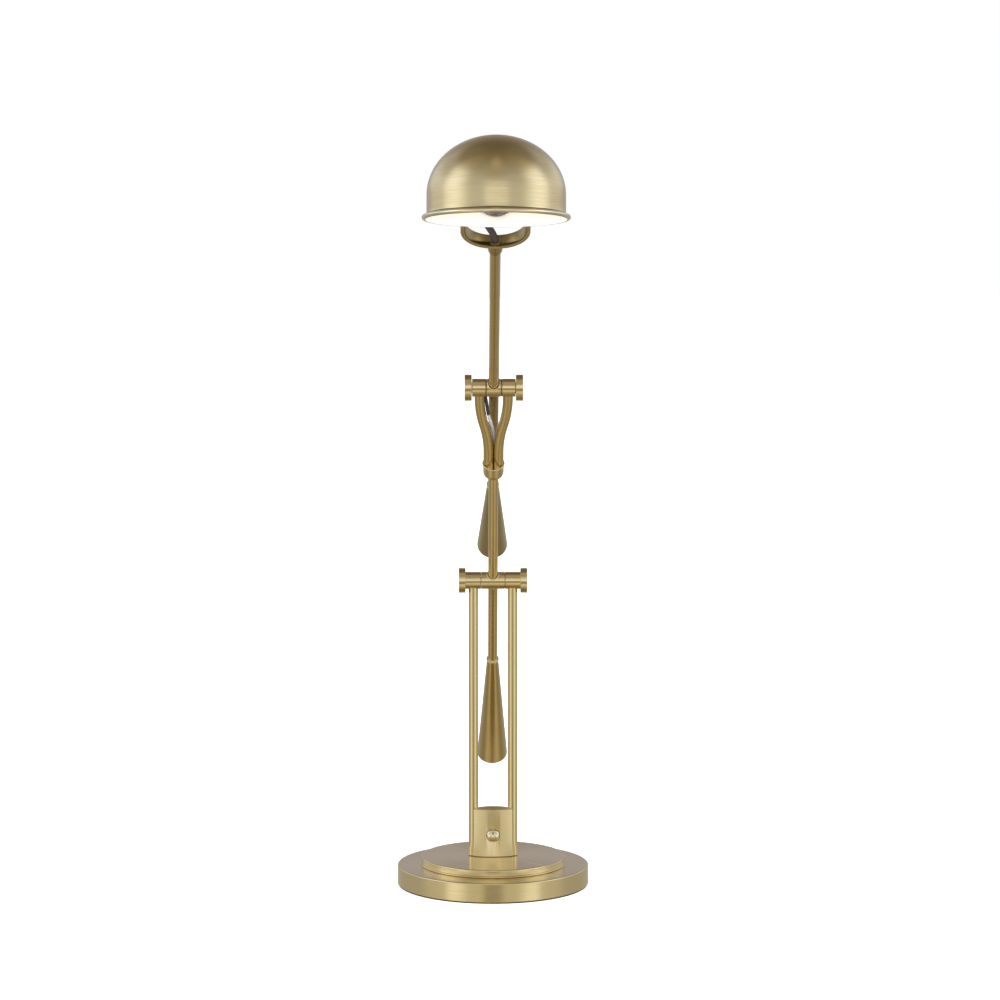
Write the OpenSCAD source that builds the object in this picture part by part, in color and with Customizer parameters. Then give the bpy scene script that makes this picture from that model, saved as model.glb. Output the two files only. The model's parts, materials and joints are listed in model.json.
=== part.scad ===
// Counterweighted desk lamp with a dome shade.
// Origin: centre of the base's underside. +Z is up, the lamp leans towards -Y.
// Each arm has a frame of its own: its pivot at the origin, +Z along the arm.

/* [Base] */
// Diameter of the base disc
base_d = 190.5; // [180:0.5:210]
// Height of the base disc's wall
base_h = 19; // [17:0.5:24]
// Thickness of the spun base cover
base_wall = 1.6; // [1.2:0.1:2.5]
// Thickness of the felt pad
felt_t = 1.2; // [0.8:0.1:2]
// Diameter of the step plate
step_d = 143; // [130:1:155]
// Height of the step plate
step_h = 8; // [6:0.5:12]
// How far the foot ring stands out of the step plate
foot_out = 1.2; // [0.6:0.1:2]
// Height of the foot ring
foot_h = 1.8; // [1.2:0.1:3]
// Width of the rounded edges of the base
edge_r = 1; // [0.5:0.1:1.5]
// Bore of the cord bushing at the back of the base
inlet_d = 6.6; // [5:0.1:7.5]

/* [Column] */
// Diameter of the uprights and of the arm tubes
tube_d = 9.5; // [9:0.1:10.5]
// Wall of the uprights and of the arm tubes
tube_wall = 1.2; // [0.9:0.1:1.5]
// Distance between the axes of the uprights
upright_gap = 39; // [38:0.5:42]
// Height of the column block
block_h = 48; // [44:1:60]
// Depth of the column block
block_depth = 20; // [18:0.5:26]
// Bow of the column block's front face
block_crown = 3; // [1:0.1:4]
// Bow of the column block's back face
block_back_crown = 12; // [6:0.5:14]
// Height of the switch above the foot of the block
switch_up = 22; // [18:0.5:26]
// Diameter of the switch bezel
bezel_d = 12.4; // [11:0.1:14]
// Height of the lower joint's axis above the table
lower_joint_z = 305.5; // [295:0.5:330]

/* [Joints] */
// Diameter of the sleeves and hubs
sleeve_d = 17; // [16.5:0.1:18.5]
// Diameter of the axles
axle_d = 6; // [5:0.1:6.5]
// Diameter of the clamp knobs
knob_d = 24.8; // [22:0.1:28]
// Thickness of the clamp knobs
knob_t = 6; // [5.5:0.1:8]
// Diameter of the neck between a knob and its sleeve
neck_d = 11; // [10:0.1:13]
// Width of the lower hub
lower_hub_w = 23.2; // [20:0.1:24]
// Width of each lower sleeve
lower_sleeve_w = 15.2; // [14:0.1:18]
// Thickness of each lower washer
lower_washer_t = 0.5; // [0.4:0.1:1.2]
// Length of each lower knob's neck
lower_neck = 0.5; // [0.4:0.1:1.5]
// Width of the upper hub
upper_hub_w = 12.7; // [12:0.1:14]
// Width of each upper sleeve
upper_sleeve_w = 12.5; // [12:0.1:15]
// Thickness of each upper washer
upper_washer_t = 1.4; // [0.8:0.1:1.6]
// Length of each upper knob's neck
upper_neck = 1.1; // [0.6:0.1:2]

/* [Lower arm] */
// Lean of the lower arm from upright, at rest
lower_lean = 38; // [34:0.5:42]
// Distance from the lower joint to the upper joint
lower_len = 257; // [250:1:275]
// Distance from the lower joint to its counterweight
lower_tail = 115; // [105:1:125]
// Distance from the upper joint down to the lip of the fork collar
fork_len = 97; // [92:1:105]
// Height of the fork collar
collar_h = 17; // [15:0.5:22]
// Distance between the fork legs where they leave the collar
fork_foot_gap = 9.8; // [9.8:0.1:11]
// Distance between the fork legs at the upper joint
fork_top_gap = 26.8; // [26:0.1:30]
// Length of the bend in each fork leg, along the arm
bend_len = 69; // [62:1:72]
// Straight length of each fork leg below the upper joint
fork_straight = 13; // [11:0.5:16]

/* [Upper arm] */
// Lean of the upper arm from upright, at rest
upper_lean = 58.5; // [56:0.5:64]
// Distance from the upper joint to the tube's front end
upper_len = 260.5; // [245:0.5:275]
// Distance from the upper joint to its counterweight
upper_tail = 210; // [205:1:220]

/* [Counterweights] */
// Length of a counterweight's cone
weight_len = 140; // [125:1:145]
// Diameter of a counterweight at its small end
weight_small_d = 11.8; // [11.5:0.1:13]
// Diameter of a counterweight at its big end
weight_big_d = 31.2; // [28:0.1:32]

/* [Yoke] */
// Diameter of the swivel socket
swivel_d = 12.7; // [12:0.1:14]
// Length of the swivel from the tube's end to the yoke
swivel_len = 10; // [9:0.5:14]
// Outer width of the yoke
yoke_w = 60; // [58:0.5:66]
// Width of the yoke's strap
yoke_strap = 12; // [11:0.5:14]
// Thickness of the yoke's strap
yoke_t = 4; // [3:0.1:4.5]
// Outer radius of the yoke's corners
yoke_corner = 28.5; // [24:0.5:29]
// Distance from the yoke's bottom to its pivots
yoke_len = 73.5; // [71:0.5:80]

/* [Shade] */
// Diameter of the shade above its rim
shade_d = 115; // [112:0.5:125]
// Diameter over the rolled rim
rim_d = 123; // [121:0.5:132]
// Height of the shade's straight skirt
skirt_h = 20.5; // [18:0.5:24]
// Height of the dome above the skirt
dome_h = 49.5; // [47:0.5:54]
// Thickness of the shade's wall
shade_wall = 0.9; // [0.7:0.1:1.2]
// Tilt of the shade at rest, its opening towards the viewer
shade_lean = 7; // [5:0.5:10]
// Height of the pivots above the rim
pivot_up = 25; // [24:0.5:28]
// Distance from the pivots to the back of the shade
pivot_back = 15; // [14:0.5:18]
// Diameter of the socket cup
cup_d = 38; // [36:0.5:40]
// Diameter of the bulb
bulb_d = 45; // [40:0.5:46]

/* [Hidden] */
$fn = 64;
// Gap on the radius of a running fit
run_gap = 0.05;
// Gap between flat faces that turn on each other
face_gap = 0.1;
// Gap between pieces that are only put together
fit_gap = 0.1;
// Depth that a cut reaches past a face
past = 1;

tube_r = tube_d / 2;
bore_r = tube_r - tube_wall;
axle_r = axle_d / 2;
sleeve_r = sleeve_d / 2;

// Heights in the base
base_top = felt_t + base_h;
step_top = base_top + step_h;
weight_top = base_top - base_wall - fit_gap;
bolt_r = 4;
bolt_head_r = 8;
bolt_head_h = 5;
rod_bolt_r = 2.5;
felt_in = 0.8;
rod_bolt_head_r = 4.5;
rod_bolt_head_h = 3;
bolt_reach = 12;
rod_bolt_reach = 10;
rod_floor = rod_bolt_reach + 4;
channel_w = 12;
channel_h = 9;
inlet_z = felt_t + 8;
inlet_flange_r = 7;
inlet_flange_t = 1.6;
inlet_body_r = 5.2;
inlet_grip = 8;

// Switch
switch_z = step_top + switch_up;
switch_body_r = 6;
switch_body_len = 10;
switch_bush_r = 3.5;
switch_shaft_r = 1.6;
bezel_t = 2;
front_wall = 4;
key_disc_d = bezel_d - 2.4;
key_disc_t = 2.2;
key_wing_t = 2.2;
key_wing_h = 12;
key_wing_depth = 5;
cover_t = 1.2;
bezel_seat = 0.4;
cover_seat = 1.4;
cover_r = switch_body_r + 1.4;

// Places along the lower and the upper axle
tube_seat = axle_r + 1;
lower_sleeve_x = lower_hub_w / 2 + face_gap + lower_washer_t;
lower_knob_x = lower_sleeve_x + lower_sleeve_w + lower_neck;
upper_sleeve_x = upper_hub_w / 2 + face_gap + upper_washer_t;
upper_knob_x = upper_sleeve_x + upper_sleeve_w + upper_neck;
knob_bore = knob_t - 2;
washer_r = sleeve_r - 0.4;
bevel_out = 1.5;
bevel_depth = 2.2;

// Fork: each leg bends out and back on two equal arcs
collar_top = lower_len - fork_len;
cup_depth = 2.5;
leg_foot = collar_top - cup_depth;
leg_shift = (fork_top_gap - fork_foot_gap) / 2;
bend_angle = 2 * atan(leg_shift / bend_len);
bend_r = bend_len / (2 * sin(bend_angle));
bend_top = lower_len - fork_straight;
bend_foot = bend_top - bend_len;
collar_r = fork_foot_gap / 2 + tube_r + 0.2;
lip_r = collar_r + 0.75;
lip_h = 3;
collar_grip = 6;
collar_round = 6;
fork_lead_r = 1.5;

// Counterweights
weight_ring_r = weight_small_d / 2 + 0.5;
weight_ring_h = 2.4;
weight_dome = 3;
weight_round = 2.4;
weight_socket = 15;

// Swivel and yoke
stud_r = 4;
stud_bore_r = 3.3;
socket_h = swivel_len - 0.3;
socket_grip = 4;
yoke_foot = upper_len + swivel_len;
yoke_nut_r = 5.2;
yoke_nut_h = 1.2;
pivot_z = yoke_foot + yoke_len;
pivot_screw_r = 2.5;
pivot_head_r = 5;
pivot_head_t = 2.4;
pivot_boss_r = 5.5;
yoke_eye_r = yoke_strap / 2 + 0.8;
yoke_in = yoke_w / 2 - yoke_t;
lead_r = 3;

// Head: its own frame has the pivots at the origin, -Y forwards and +Z up the dome
dome_y = -(pivot_back + shade_d / 2);
rim_bead_r = 2;
cup_r = cup_d / 2;
cup_wall = 1.2;
cup_back = 16;
cup_round = 5;
cup_reach = 20;
holder_r = cup_r - cup_wall - 0.3;
holder_bore_r = 13.4;
holder_back = 12;
holder_front = 30;
holder_floor = 5;
ring_r = cup_r + 3;
ring_front = 28;
cap_r = 13;
cap_len = 25;
gland_r = 4.6;
gland_bore_r = 3.15;
gland_len = 5;
bulb_wall = 0.8;
bulb_y = -(pivot_back + bulb_d / 2 + 24);

// Route of the dark lead in the yoke, in the upper arm's frame: its first points are
// measured from the foot of the yoke, and the rest from the pivots
lead_start = [[0, 0, -9.2], [0, 0, -5.5], [0, 0, -0.5], [0, 0, 5], [-0.8, 0.3, 9.7]];
lead_end = [
    [-2.8, 1.2, -57], [-5.2, 2.5, -52.4], [-7.2, 4, -47.7], [-8, 5.6, -43],
    [-7.2, 7.1, -38.2], [-5.2, 8.3, -33.5], [-2.8, 9.1, -28.8], [-0.8, 9.3, -24],
    [0, 8.8, -19.4]
];
lead_route = concat(
    [for (p = lead_start) p + [0, 0, yoke_foot]],
    [for (p = lead_end) p + [0, 0, pivot_z]]);

// Route of the thin lead in the fork, in the lower arm's frame: its first points are
// measured from the lip of the collar, and the rest from the upper joint
fork_lead_start = [
    [0, 4.3, -2.4], [0, 4.3, 5], [0, 4.3, 13], [0, 4.2, 21], [-0.1, 4.1, 29],
    [-0.5, 3.6, 37]
];
fork_lead_end = [
    [-1.2, 2.6, -53], [-2.7, 0.9, -45], [-4.3, 0.3, -38], [-5.6, 0.3, -30],
    [-6.4, 1, -24], [-7.4, 2.8, -17], [-8.6, 4.6, -11.5], [-9.4, 5.5, -7.4]
];
fork_route = concat(
    [for (p = fork_lead_start) p + [0, 0, collar_top]],
    [for (p = fork_lead_end) p + [0, 0, lower_len]]);

brass = [0.69, 0.60, 0.38];
bright_brass = [0.93, 0.88, 0.68];
dark = [0.16, 0.16, 0.17];
steel = [0.62, 0.62, 0.64];
white = [0.95, 0.94, 0.92];

// Points of an arc in a profile
function arc(c, r, from, to, n) =
    [for (i = [0:n]) let (a = from + (to - from) * i / n) c + r * [cos(a), sin(a)]];

// Points of a quarter of an ellipse in a profile, from its side to its top
function dome_arc(rx, rz, z, n) =
    [for (i = [0:n]) let (a = 90 * i / n) [rx * cos(a), z + rz * sin(a)]];

function unit(v) = v / norm(v);

// Direction of a route at point i
function heading(p, i) = unit(p[min(i + 1, len(p) - 1)] - p[max(i - 1, 0)]);

// A tube swept along a route, with flat ends
module sweep(route, r, sides) {
    n = len(route);
    points = [
        for (i = [0:n - 1])
            let (t = heading(route, i), u = unit(cross([0, 1, 0], t)), v = cross(t, u))
            for (k = [0:sides - 1])
                let (a = 360 * k / sides) route[i] + r * (cos(a) * u + sin(a) * v)
    ];
    walls = [
        for (i = [0:n - 2]) for (k = [0:sides - 1])
            let (k2 = (k + 1) % sides)
            [i * sides + k, (i + 1) * sides + k, (i + 1) * sides + k2, i * sides + k2]
    ];
    first = [for (k = [0:sides - 1]) k];
    last = [for (k = [sides - 1:-1:0]) (n - 1) * sides + k];
    polyhedron(points, concat(walls, [first, last]), convexity = 6);
}

// A cylinder along X from x0 to x1
module rod_x(x0, x1, r) {
    translate([x0, 0, 0])
        rotate([0, 90, 0])
        cylinder(h = x1 - x0, r = r);
}

// A cylinder along Y from y0 to y1
module rod_y(y0, y1, r) {
    translate([0, y1, 0])
        rotate([90, 0, 0])
        cylinder(h = y1 - y0, r = r);
}

// Frames of the moving pieces at rest
module on_lower_arm() {
    translate([0, 0, lower_joint_z])
        rotate([lower_lean, 0, 0])
        children();
}

module on_upper_arm() {
    on_lower_arm()
        translate([0, 0, lower_len])
        rotate([upper_lean - lower_lean, 0, 0])
        children();
}

module on_head() {
    on_upper_arm()
        translate([0, 0, pivot_z])
        rotate([-upper_lean - shade_lean, 0, 0])
        children();
}

// Places of the two bolts up into the uprights
module at_uprights() {
    for (side = [-1, 1])
        translate([side * upright_gap / 2, 0, 0])
            children();
}

// ---- Base ----

module felt_pad() {
    color("dimgray")
        cylinder(h = felt_t, d = base_d - 2 * felt_in);
}

module base_disc() {
    r = base_d / 2;
    color(brass)
    difference() {
        rotate_extrude($fn = 128)
            polygon(concat(
                [[0, base_top], [0, weight_top + fit_gap], [r - base_wall, weight_top + fit_gap],
                 [r - base_wall, felt_t], [r, felt_t]],
                arc([r - edge_r, base_top - edge_r], edge_r, 0, 90, 6)));
        translate([0, 0, weight_top])
            cylinder(h = base_wall + 2 * past, r = bolt_r + fit_gap);
        at_uprights()
            translate([0, 0, weight_top])
            cylinder(h = base_wall + 2 * past, r = rod_bolt_r + fit_gap);
        translate([0, 0, inlet_z])
            rod_y(r - 3 * base_wall, r + past, inlet_body_r + fit_gap);
    }
}

module base_weight() {
    r = base_d / 2 - base_wall - fit_gap;
    color("dimgray")
    difference() {
        translate([0, 0, felt_t])
            cylinder(h = weight_top - felt_t, r = r);
        translate([0, 0, felt_t - past])
            cylinder(h = base_h, r = bolt_r + fit_gap);
        translate([0, 0, felt_t - past])
            cylinder(h = bolt_head_h + past, r = bolt_head_r + fit_gap);
        at_uprights() {
            translate([0, 0, felt_t - past])
                cylinder(h = base_h, r = rod_bolt_r + fit_gap);
            translate([0, 0, felt_t - past])
                cylinder(h = rod_bolt_head_h + past, r = rod_bolt_head_r + fit_gap);
        }
        // Channel for the wires, from the inlet to the foot of the left upright
        translate([-channel_w / 2, bolt_head_r + 4, inlet_z - channel_h / 2])
            cube([channel_w, r, channel_h]);
        translate([0, 0, inlet_z])
            rod_y(r - inlet_flange_t - inlet_grip, r + past, inlet_flange_r + fit_gap);
    }
}

module step_plate() {
    r = step_d / 2;
    foot_r = r + foot_out;
    color(brass)
    difference() {
        translate([0, 0, base_top])
            rotate_extrude($fn = 128)
            polygon(concat(
                [[0, step_h], [0, 0]],
                arc([foot_r - foot_h / 2, foot_h / 2], foot_h / 2, -90, 90, 8),
                [[r, foot_h + 0.1]],
                arc([r - edge_r, step_h - edge_r], edge_r, 0, 90, 6)));
        translate([0, 0, base_top - past])
            cylinder(h = step_h + 2 * past, r = bolt_r + fit_gap);
        at_uprights()
            translate([0, 0, base_top - past])
            cylinder(h = step_h + 2 * past, r = rod_bolt_r + fit_gap);
    }
}

// A bolt from the base's underside, its head at the bottom
module bolt(r, head_r, head_h, len) {
    difference() {
        union() {
            cylinder(h = head_h, r = head_r);
            cylinder(h = len, r = r);
        }
        translate([0, 0, -past])
            cylinder(h = head_h * 0.6 + past, r = head_r * 0.5, $fn = 6);
    }
}

module column_bolts() {
    color(steel)
    translate([0, 0, felt_t]) {
        bolt(bolt_r, bolt_head_r, bolt_head_h, step_top - felt_t + bolt_reach);
        at_uprights()
            bolt(rod_bolt_r, rod_bolt_head_r, rod_bolt_head_h,
                step_top - felt_t + rod_bolt_reach);
    }
}

module cord_bushing() {
    r = base_d / 2;
    color(dark)
    translate([0, 0, inlet_z])
    difference() {
        union() {
            rod_y(r - inlet_grip, r + inlet_flange_t, inlet_body_r);
            rod_y(r + 0.05, r + inlet_flange_t, inlet_flange_r);
        }
        rod_y(r - inlet_grip - past, r + inlet_flange_t + past, inlet_d / 2);
    }
}

// ---- Column ----

module column_block() {
    half = upright_gap / 2 - 0.3;
    front_r = (half * half + block_crown * block_crown) / (2 * block_crown);
    back_r = (half * half + block_back_crown * block_back_crown) / (2 * block_back_crown);
    color(brass)
    difference() {
        translate([0, 0, step_top])
        linear_extrude(block_h)
        intersection() {
            square([2 * half, block_depth], center = true);
            translate([0, front_r - block_depth / 2])
                circle(r = front_r, $fn = 256);
            translate([0, block_depth / 2 - back_r])
                circle(r = back_r, $fn = 128);
        }
        at_uprights()
            translate([0, 0, step_top - past])
            cylinder(h = block_h + 2 * past, r = tube_r + run_gap);
        translate([0, 0, step_top - past])
            cylinder(h = bolt_reach + past + fit_gap, r = bolt_r + fit_gap);
        translate([0, 0, switch_z]) {
            rod_y(-block_depth / 2 - past, 0, switch_bush_r + fit_gap);
            rod_y(-block_depth / 2 + front_wall, block_depth / 2 + past,
                switch_body_r + fit_gap);
            rod_y(-block_depth / 2 - past, -block_depth / 2 + bezel_seat,
                bezel_d / 2 + fit_gap);
            rod_y(block_depth / 2 - cover_seat, block_depth / 2 + past,
                cover_r + fit_gap);
        }
    }
}

// One upright: a tube from the step plate to the sleeve above it
module upright(side) {
    color(brass)
    translate([side * upright_gap / 2, 0, 0])
    difference() {
        translate([0, 0, step_top])
            cylinder(h = lower_joint_z - step_top, r = tube_r);
        translate([0, 0, step_top - past])
            cylinder(h = rod_bolt_reach + 1 + past, r = rod_bolt_r + run_gap);
        translate([0, 0, step_top + rod_floor])
            cylinder(h = lower_joint_z, r = bore_r);
        translate([0, 0, lower_joint_z])
            rod_x(-upright_gap, upright_gap, sleeve_r + run_gap);
    }
}

module upright_wire() {
    wire_r = bore_r - 0.4;
    color(dark)
    translate([-upright_gap / 2, 0, step_top + rod_floor + 0.3])
        cylinder(h = lower_joint_z - sleeve_r - step_top - rod_floor - 2, r = wire_r);
}

module switch_body() {
    front = -block_depth / 2 + front_wall;
    color(dark)
    translate([0, 0, switch_z])
    difference() {
        union() {
            rod_y(front + face_gap, front + switch_body_len, switch_body_r);
            rod_y(-block_depth / 2 - bezel_t, front + 2, switch_bush_r);
        }
        rod_y(-block_depth / 2 - bezel_t - past, front + 4, switch_shaft_r + run_gap);
    }
}

module switch_bezel() {
    front = -block_depth / 2;
    color(bright_brass)
    translate([0, 0, switch_z])
    difference() {
        union() {
            rod_y(front - bezel_t * 0.6, front + bezel_seat - 0.02, bezel_d / 2);
            rod_y(front - bezel_t, front, bezel_d / 2 - 0.8);
        }
        rod_y(front - bezel_t - past, front + past, switch_bush_r + run_gap);
    }
}

module switch_cover() {
    back = block_depth / 2 - cover_seat;
    color(brass)
    translate([0, 0, switch_z])
    difference() {
        union() {
            rod_y(back - 3, back + cover_t, switch_body_r - 0.2);
            rod_y(back + 0.02, back + cover_t, cover_r);
        }
        translate([-switch_body_r, back + cover_t - 0.5, -0.6])
            cube([2 * switch_body_r, 2, 1.2]);
    }
}

module switch_key() {
    face = -block_depth / 2 - bezel_t - face_gap;
    color(bright_brass)
    translate([0, 0, switch_z]) {
        rod_y(face - key_disc_t, face, key_disc_d / 2);
        rod_y(face - 0.5, face + 6, switch_shaft_r);
        translate([0, face - key_disc_t - key_wing_depth, 0])
        intersection() {
            translate([-key_wing_t / 2, 0, -key_wing_h / 2])
                cube([key_wing_t, key_wing_depth + 1, key_wing_h]);
            rotate([-90, 0, 0])
                cylinder(h = key_wing_depth + 1, r1 = key_wing_h * 0.42, r2 = key_wing_h / 2);
        }
    }
}

// ---- Cross joints ----

// One sleeve from x0 to x1, bored for the axle
module sleeve(side, x0, w) {
    color(brass)
    mirror([side < 0 ? 1 : 0, 0, 0])
    difference() {
        rod_x(x0, x0 + w, sleeve_r);
        rod_x(x0 - past, x0 + w + past, axle_r + run_gap);
    }
}

module axle(knob_x) {
    color(steel)
    rod_x(-(knob_x + knob_bore - 0.4), knob_x + knob_bore - 0.4, axle_r);
}

// The pair of washers between the hub and the sleeves
module washers(sleeve_x, t) {
    color(bright_brass)
    for (side = [0, 1])
        mirror([side, 0, 0])
        difference() {
            rod_x(sleeve_x - t, sleeve_x, washer_r);
            rod_x(sleeve_x - t - past, sleeve_x + past, axle_r + run_gap);
        }
}

// A clamp knob: a disc with softened edges on a short neck
module clamp_knob(side, knob_x, neck) {
    r = knob_d / 2;
    soft = 0.8;
    color(brass)
    mirror([side < 0 ? 1 : 0, 0, 0])
    difference() {
        translate([knob_x, 0, 0])
            rotate([0, 90, 0])
            rotate_extrude($fn = 96)
            polygon([
                [0, -neck + face_gap], [neck_d / 2, -neck + face_gap], [neck_d / 2, 0],
                [r - soft / 2, 0], [r, soft / 2], [r, knob_t - soft], [r - soft, knob_t],
                [0, knob_t]
            ]);
        rod_x(knob_x - neck - past, knob_x + knob_bore, axle_r + run_gap);
    }
}

// A hub on the axle, with a bevelled seat for each of its two tubes
module hub(w) {
    seat_r = tube_r + run_gap;
    color(brass)
    difference() {
        rod_x(-w / 2, w / 2, sleeve_r);
        rod_x(-w / 2 - past, w / 2 + past, axle_r + run_gap);
        for (turn = [0, 180])
            rotate([turn, 0, 0]) {
                translate([0, 0, tube_seat])
                    cylinder(h = sleeve_r, r = seat_r);
                translate([0, 0, sleeve_r - bevel_depth])
                    cylinder(h = bevel_depth + 0.4, r1 = seat_r, r2 = seat_r + bevel_out);
            }
    }
}

// A tube along the arm from z0 to z1
module tube(z0, z1) {
    color(brass)
    translate([0, 0, z0])
    difference() {
        cylinder(h = z1 - z0, r = tube_r);
        translate([0, 0, -past])
            cylinder(h = z1 - z0 + 2 * past, r = bore_r);
    }
}

// A conical counterweight below its pivot, its small end at the given distance
module weight(start) {
    r1 = weight_small_d / 2;
    r2 = weight_big_d / 2;
    turn = 68;
    edge = [r2 - weight_round * (1 - cos(turn)), -weight_len - weight_round * sin(turn)];
    color(brass)
    translate([0, 0, -start])
    difference() {
        rotate_extrude($fn = 96)
            polygon(concat(
                [[0, 0], [r1, 0]],
                arc([r2 - weight_round, -weight_len], weight_round, 4, -turn, 6),
                [for (i = [1:5])
                    let (f = i / 5)
                    [edge[0] * (1 - f), edge[1] - weight_dome * (1 - pow(1 - f, 2))]]));
        translate([0, 0, -weight_socket])
            cylinder(h = weight_socket + past, r = tube_r + run_gap);
    }
}

module weight_ring(start) {
    color(bright_brass)
    translate([0, 0, -start])
    difference() {
        translate([0, 0, 0.02])
            cylinder(h = weight_ring_h, r = weight_ring_r);
        translate([0, 0, -past])
            cylinder(h = weight_ring_h + 2 * past, r = tube_r + run_gap);
    }
}

// ---- Lower arm ----

module fork_collar() {
    color(brass)
    difference() {
        translate([0, 0, collar_top - collar_h])
        rotate_extrude($fn = 96)
        polygon(concat(
            [[0, 0], [tube_r + 0.6, 0]],
            arc([collar_r - collar_round, collar_round], collar_round, -50, 0, 6),
            [[collar_r, collar_h - lip_h], [lip_r, collar_h - lip_h + 0.4],
             [lip_r, collar_h - 0.4], [lip_r - 0.3, collar_h], [0, collar_h]]));
        translate([0, 0, leg_foot])
            cylinder(h = cup_depth + past, r = collar_r - 0.05);
        translate([0, 0, collar_top - collar_h - past])
            cylinder(h = collar_grip + past, r = tube_r + run_gap);
    }
}

// Middle line of a fork leg: up out of the collar, out and back on two arcs, up to the sleeve
function leg_line(steps) =
    let (foot_x = fork_foot_gap / 2, top_x = fork_top_gap / 2)
    concat(
        [[foot_x, 0, leg_foot]],
        [for (i = [0:steps]) let (a = bend_angle * i / steps)
            [foot_x + bend_r * (1 - cos(a)), 0, bend_foot + bend_r * sin(a)]],
        [for (i = [steps - 1:-1:0]) let (a = bend_angle * i / steps)
            [top_x - bend_r * (1 - cos(a)), 0, bend_top - bend_r * sin(a)]],
        [[top_x, 0, lower_len - sleeve_r / 2]]);

module fork_leg(side) {
    color(brass)
    mirror([side < 0 ? 1 : 0, 0, 0])
    difference() {
        sweep(leg_line(9), tube_r, 24);
        translate([0, 0, lower_len])
            rod_x(0, fork_top_gap, sleeve_r + run_gap);
    }
}

module arm_wire(z0, z1) {
    wire_r = bore_r - 0.4;
    color(dark)
    translate([0, 0, z0])
        cylinder(h = z1 - z0, r = wire_r);
}

// ---- Swivel and yoke ----

module swivel_socket() {
    r = swivel_d / 2;
    color(brass)
    translate([0, 0, upper_len - socket_grip])
    difference() {
        rotate_extrude()
            polygon(concat(
                [[0, 0], [tube_r + 0.5, 0]],
                arc([r - 3, 4], 3, -50, 0, 6),
                arc([r - 1, socket_grip + socket_h - 1], 1, 0, 90, 4),
                [[0, socket_grip + socket_h]]));
        translate([0, 0, -past])
            cylinder(h = socket_grip + past, r = tube_r + run_gap);
        translate([0, 0, socket_grip - past])
            cylinder(h = socket_h + 2 * past, r = stud_r + run_gap);
        translate([0, 0, socket_grip + socket_h / 2])
            rod_y(-r - past, 0, 1.55);
    }
}

module swivel_screw() {
    color(steel)
    translate([0, 0, upper_len + socket_h / 2])
    difference() {
        rod_y(-swivel_d / 2 - 0.2, -stud_r - 0.1, 1.5);
        translate([-2, -swivel_d / 2 - past, -0.25])
            cube([4, past + 0.5, 0.5]);
    }
}

module swivel_stud() {
    shoulder = upper_len + socket_h + face_gap;
    color(brass)
    difference() {
        union() {
            translate([0, 0, upper_len + 0.3])
                cylinder(h = yoke_foot + yoke_t + yoke_nut_h - upper_len - 0.3, r = stud_r);
            translate([0, 0, shoulder])
                cylinder(h = yoke_foot - shoulder, r1 = 5, r2 = 5.6);
        }
        translate([0, 0, upper_len - past])
            cylinder(h = yoke_foot - upper_len + 4 * yoke_t, r = stud_bore_r);
    }
}

// Outline of the yoke's strap, seen along its width, shrunk by inset
module yoke_outline(inset) {
    r = yoke_corner - inset;
    half = yoke_w / 2 - inset;
    flat = yoke_w / 2 - yoke_corner;
    polygon(concat(
        arc([flat, yoke_corner], r, -90, 0, 24),
        [[half, yoke_len + 2 * past], [-half, yoke_len + 2 * past]],
        arc([-flat, yoke_corner], r, 180, 270, 24)));
}

module yoke() {
    color(brass)
    difference() {
        union() {
            translate([0, yoke_strap / 2, yoke_foot])
                rotate([90, 0, 0])
                linear_extrude(yoke_strap)
                difference() {
                    yoke_outline(0);
                    yoke_outline(yoke_t);
                    translate([-yoke_w, yoke_len])
                        square([2 * yoke_w, yoke_w]);
                }
            for (side = [0, 1])
                mirror([side, 0, 0])
                translate([0, 0, pivot_z])
                rod_x(yoke_in, yoke_w / 2, yoke_eye_r);
        }
        translate([0, 0, yoke_foot - past])
            cylinder(h = yoke_t + 2 * past, r = stud_r + run_gap);
        translate([0, 0, pivot_z])
            rod_x(-yoke_w, yoke_w, pivot_screw_r + run_gap);
    }
}

module yoke_nut() {
    // The strap's bottom curves up a little below the rim of the nut
    bend = yoke_corner - yoke_t;
    over = max(0, yoke_nut_r - (yoke_w / 2 - yoke_corner));
    rise = bend - sqrt(bend * bend - over * over);
    color(brass)
    translate([0, 0, yoke_foot + yoke_t + rise])
    difference() {
        cylinder(h = yoke_nut_h, r = yoke_nut_r);
        translate([0, 0, -past])
            cylinder(h = yoke_nut_h + 2 * past, r = stud_r + run_gap);
    }
}

module pivot_screws() {
    tip = cup_r + 0.6;
    color(bright_brass)
    translate([0, 0, pivot_z])
    for (side = [0, 1])
        mirror([side, 0, 0])
        difference() {
            union() {
                rod_x(tip, yoke_w / 2 + pivot_head_t, pivot_screw_r);
                rod_x(yoke_w / 2 + 0.02, yoke_w / 2 + pivot_head_t, pivot_head_r);
            }
            translate([yoke_w / 2 + pivot_head_t - 0.8, -pivot_head_r, -0.6])
                cube([2, 2 * pivot_head_r, 1.2]);
        }
}

// ---- Head ----

// Profile of the shade's outside, filled to its axis, shrunk by inset
module shade_profile(inset) {
    polygon(concat(
        [[0, -past * (inset > 0 ? 1 : 0)], [shade_d / 2 - inset, -past * (inset > 0 ? 1 : 0)]],
        dome_arc(shade_d / 2 - inset, dome_h - inset, skirt_h, 32)));
}

module shade_solid(inset) {
    translate([0, dome_y, -pivot_up])
        rotate_extrude($fn = 128)
        shade_profile(inset);
}

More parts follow.
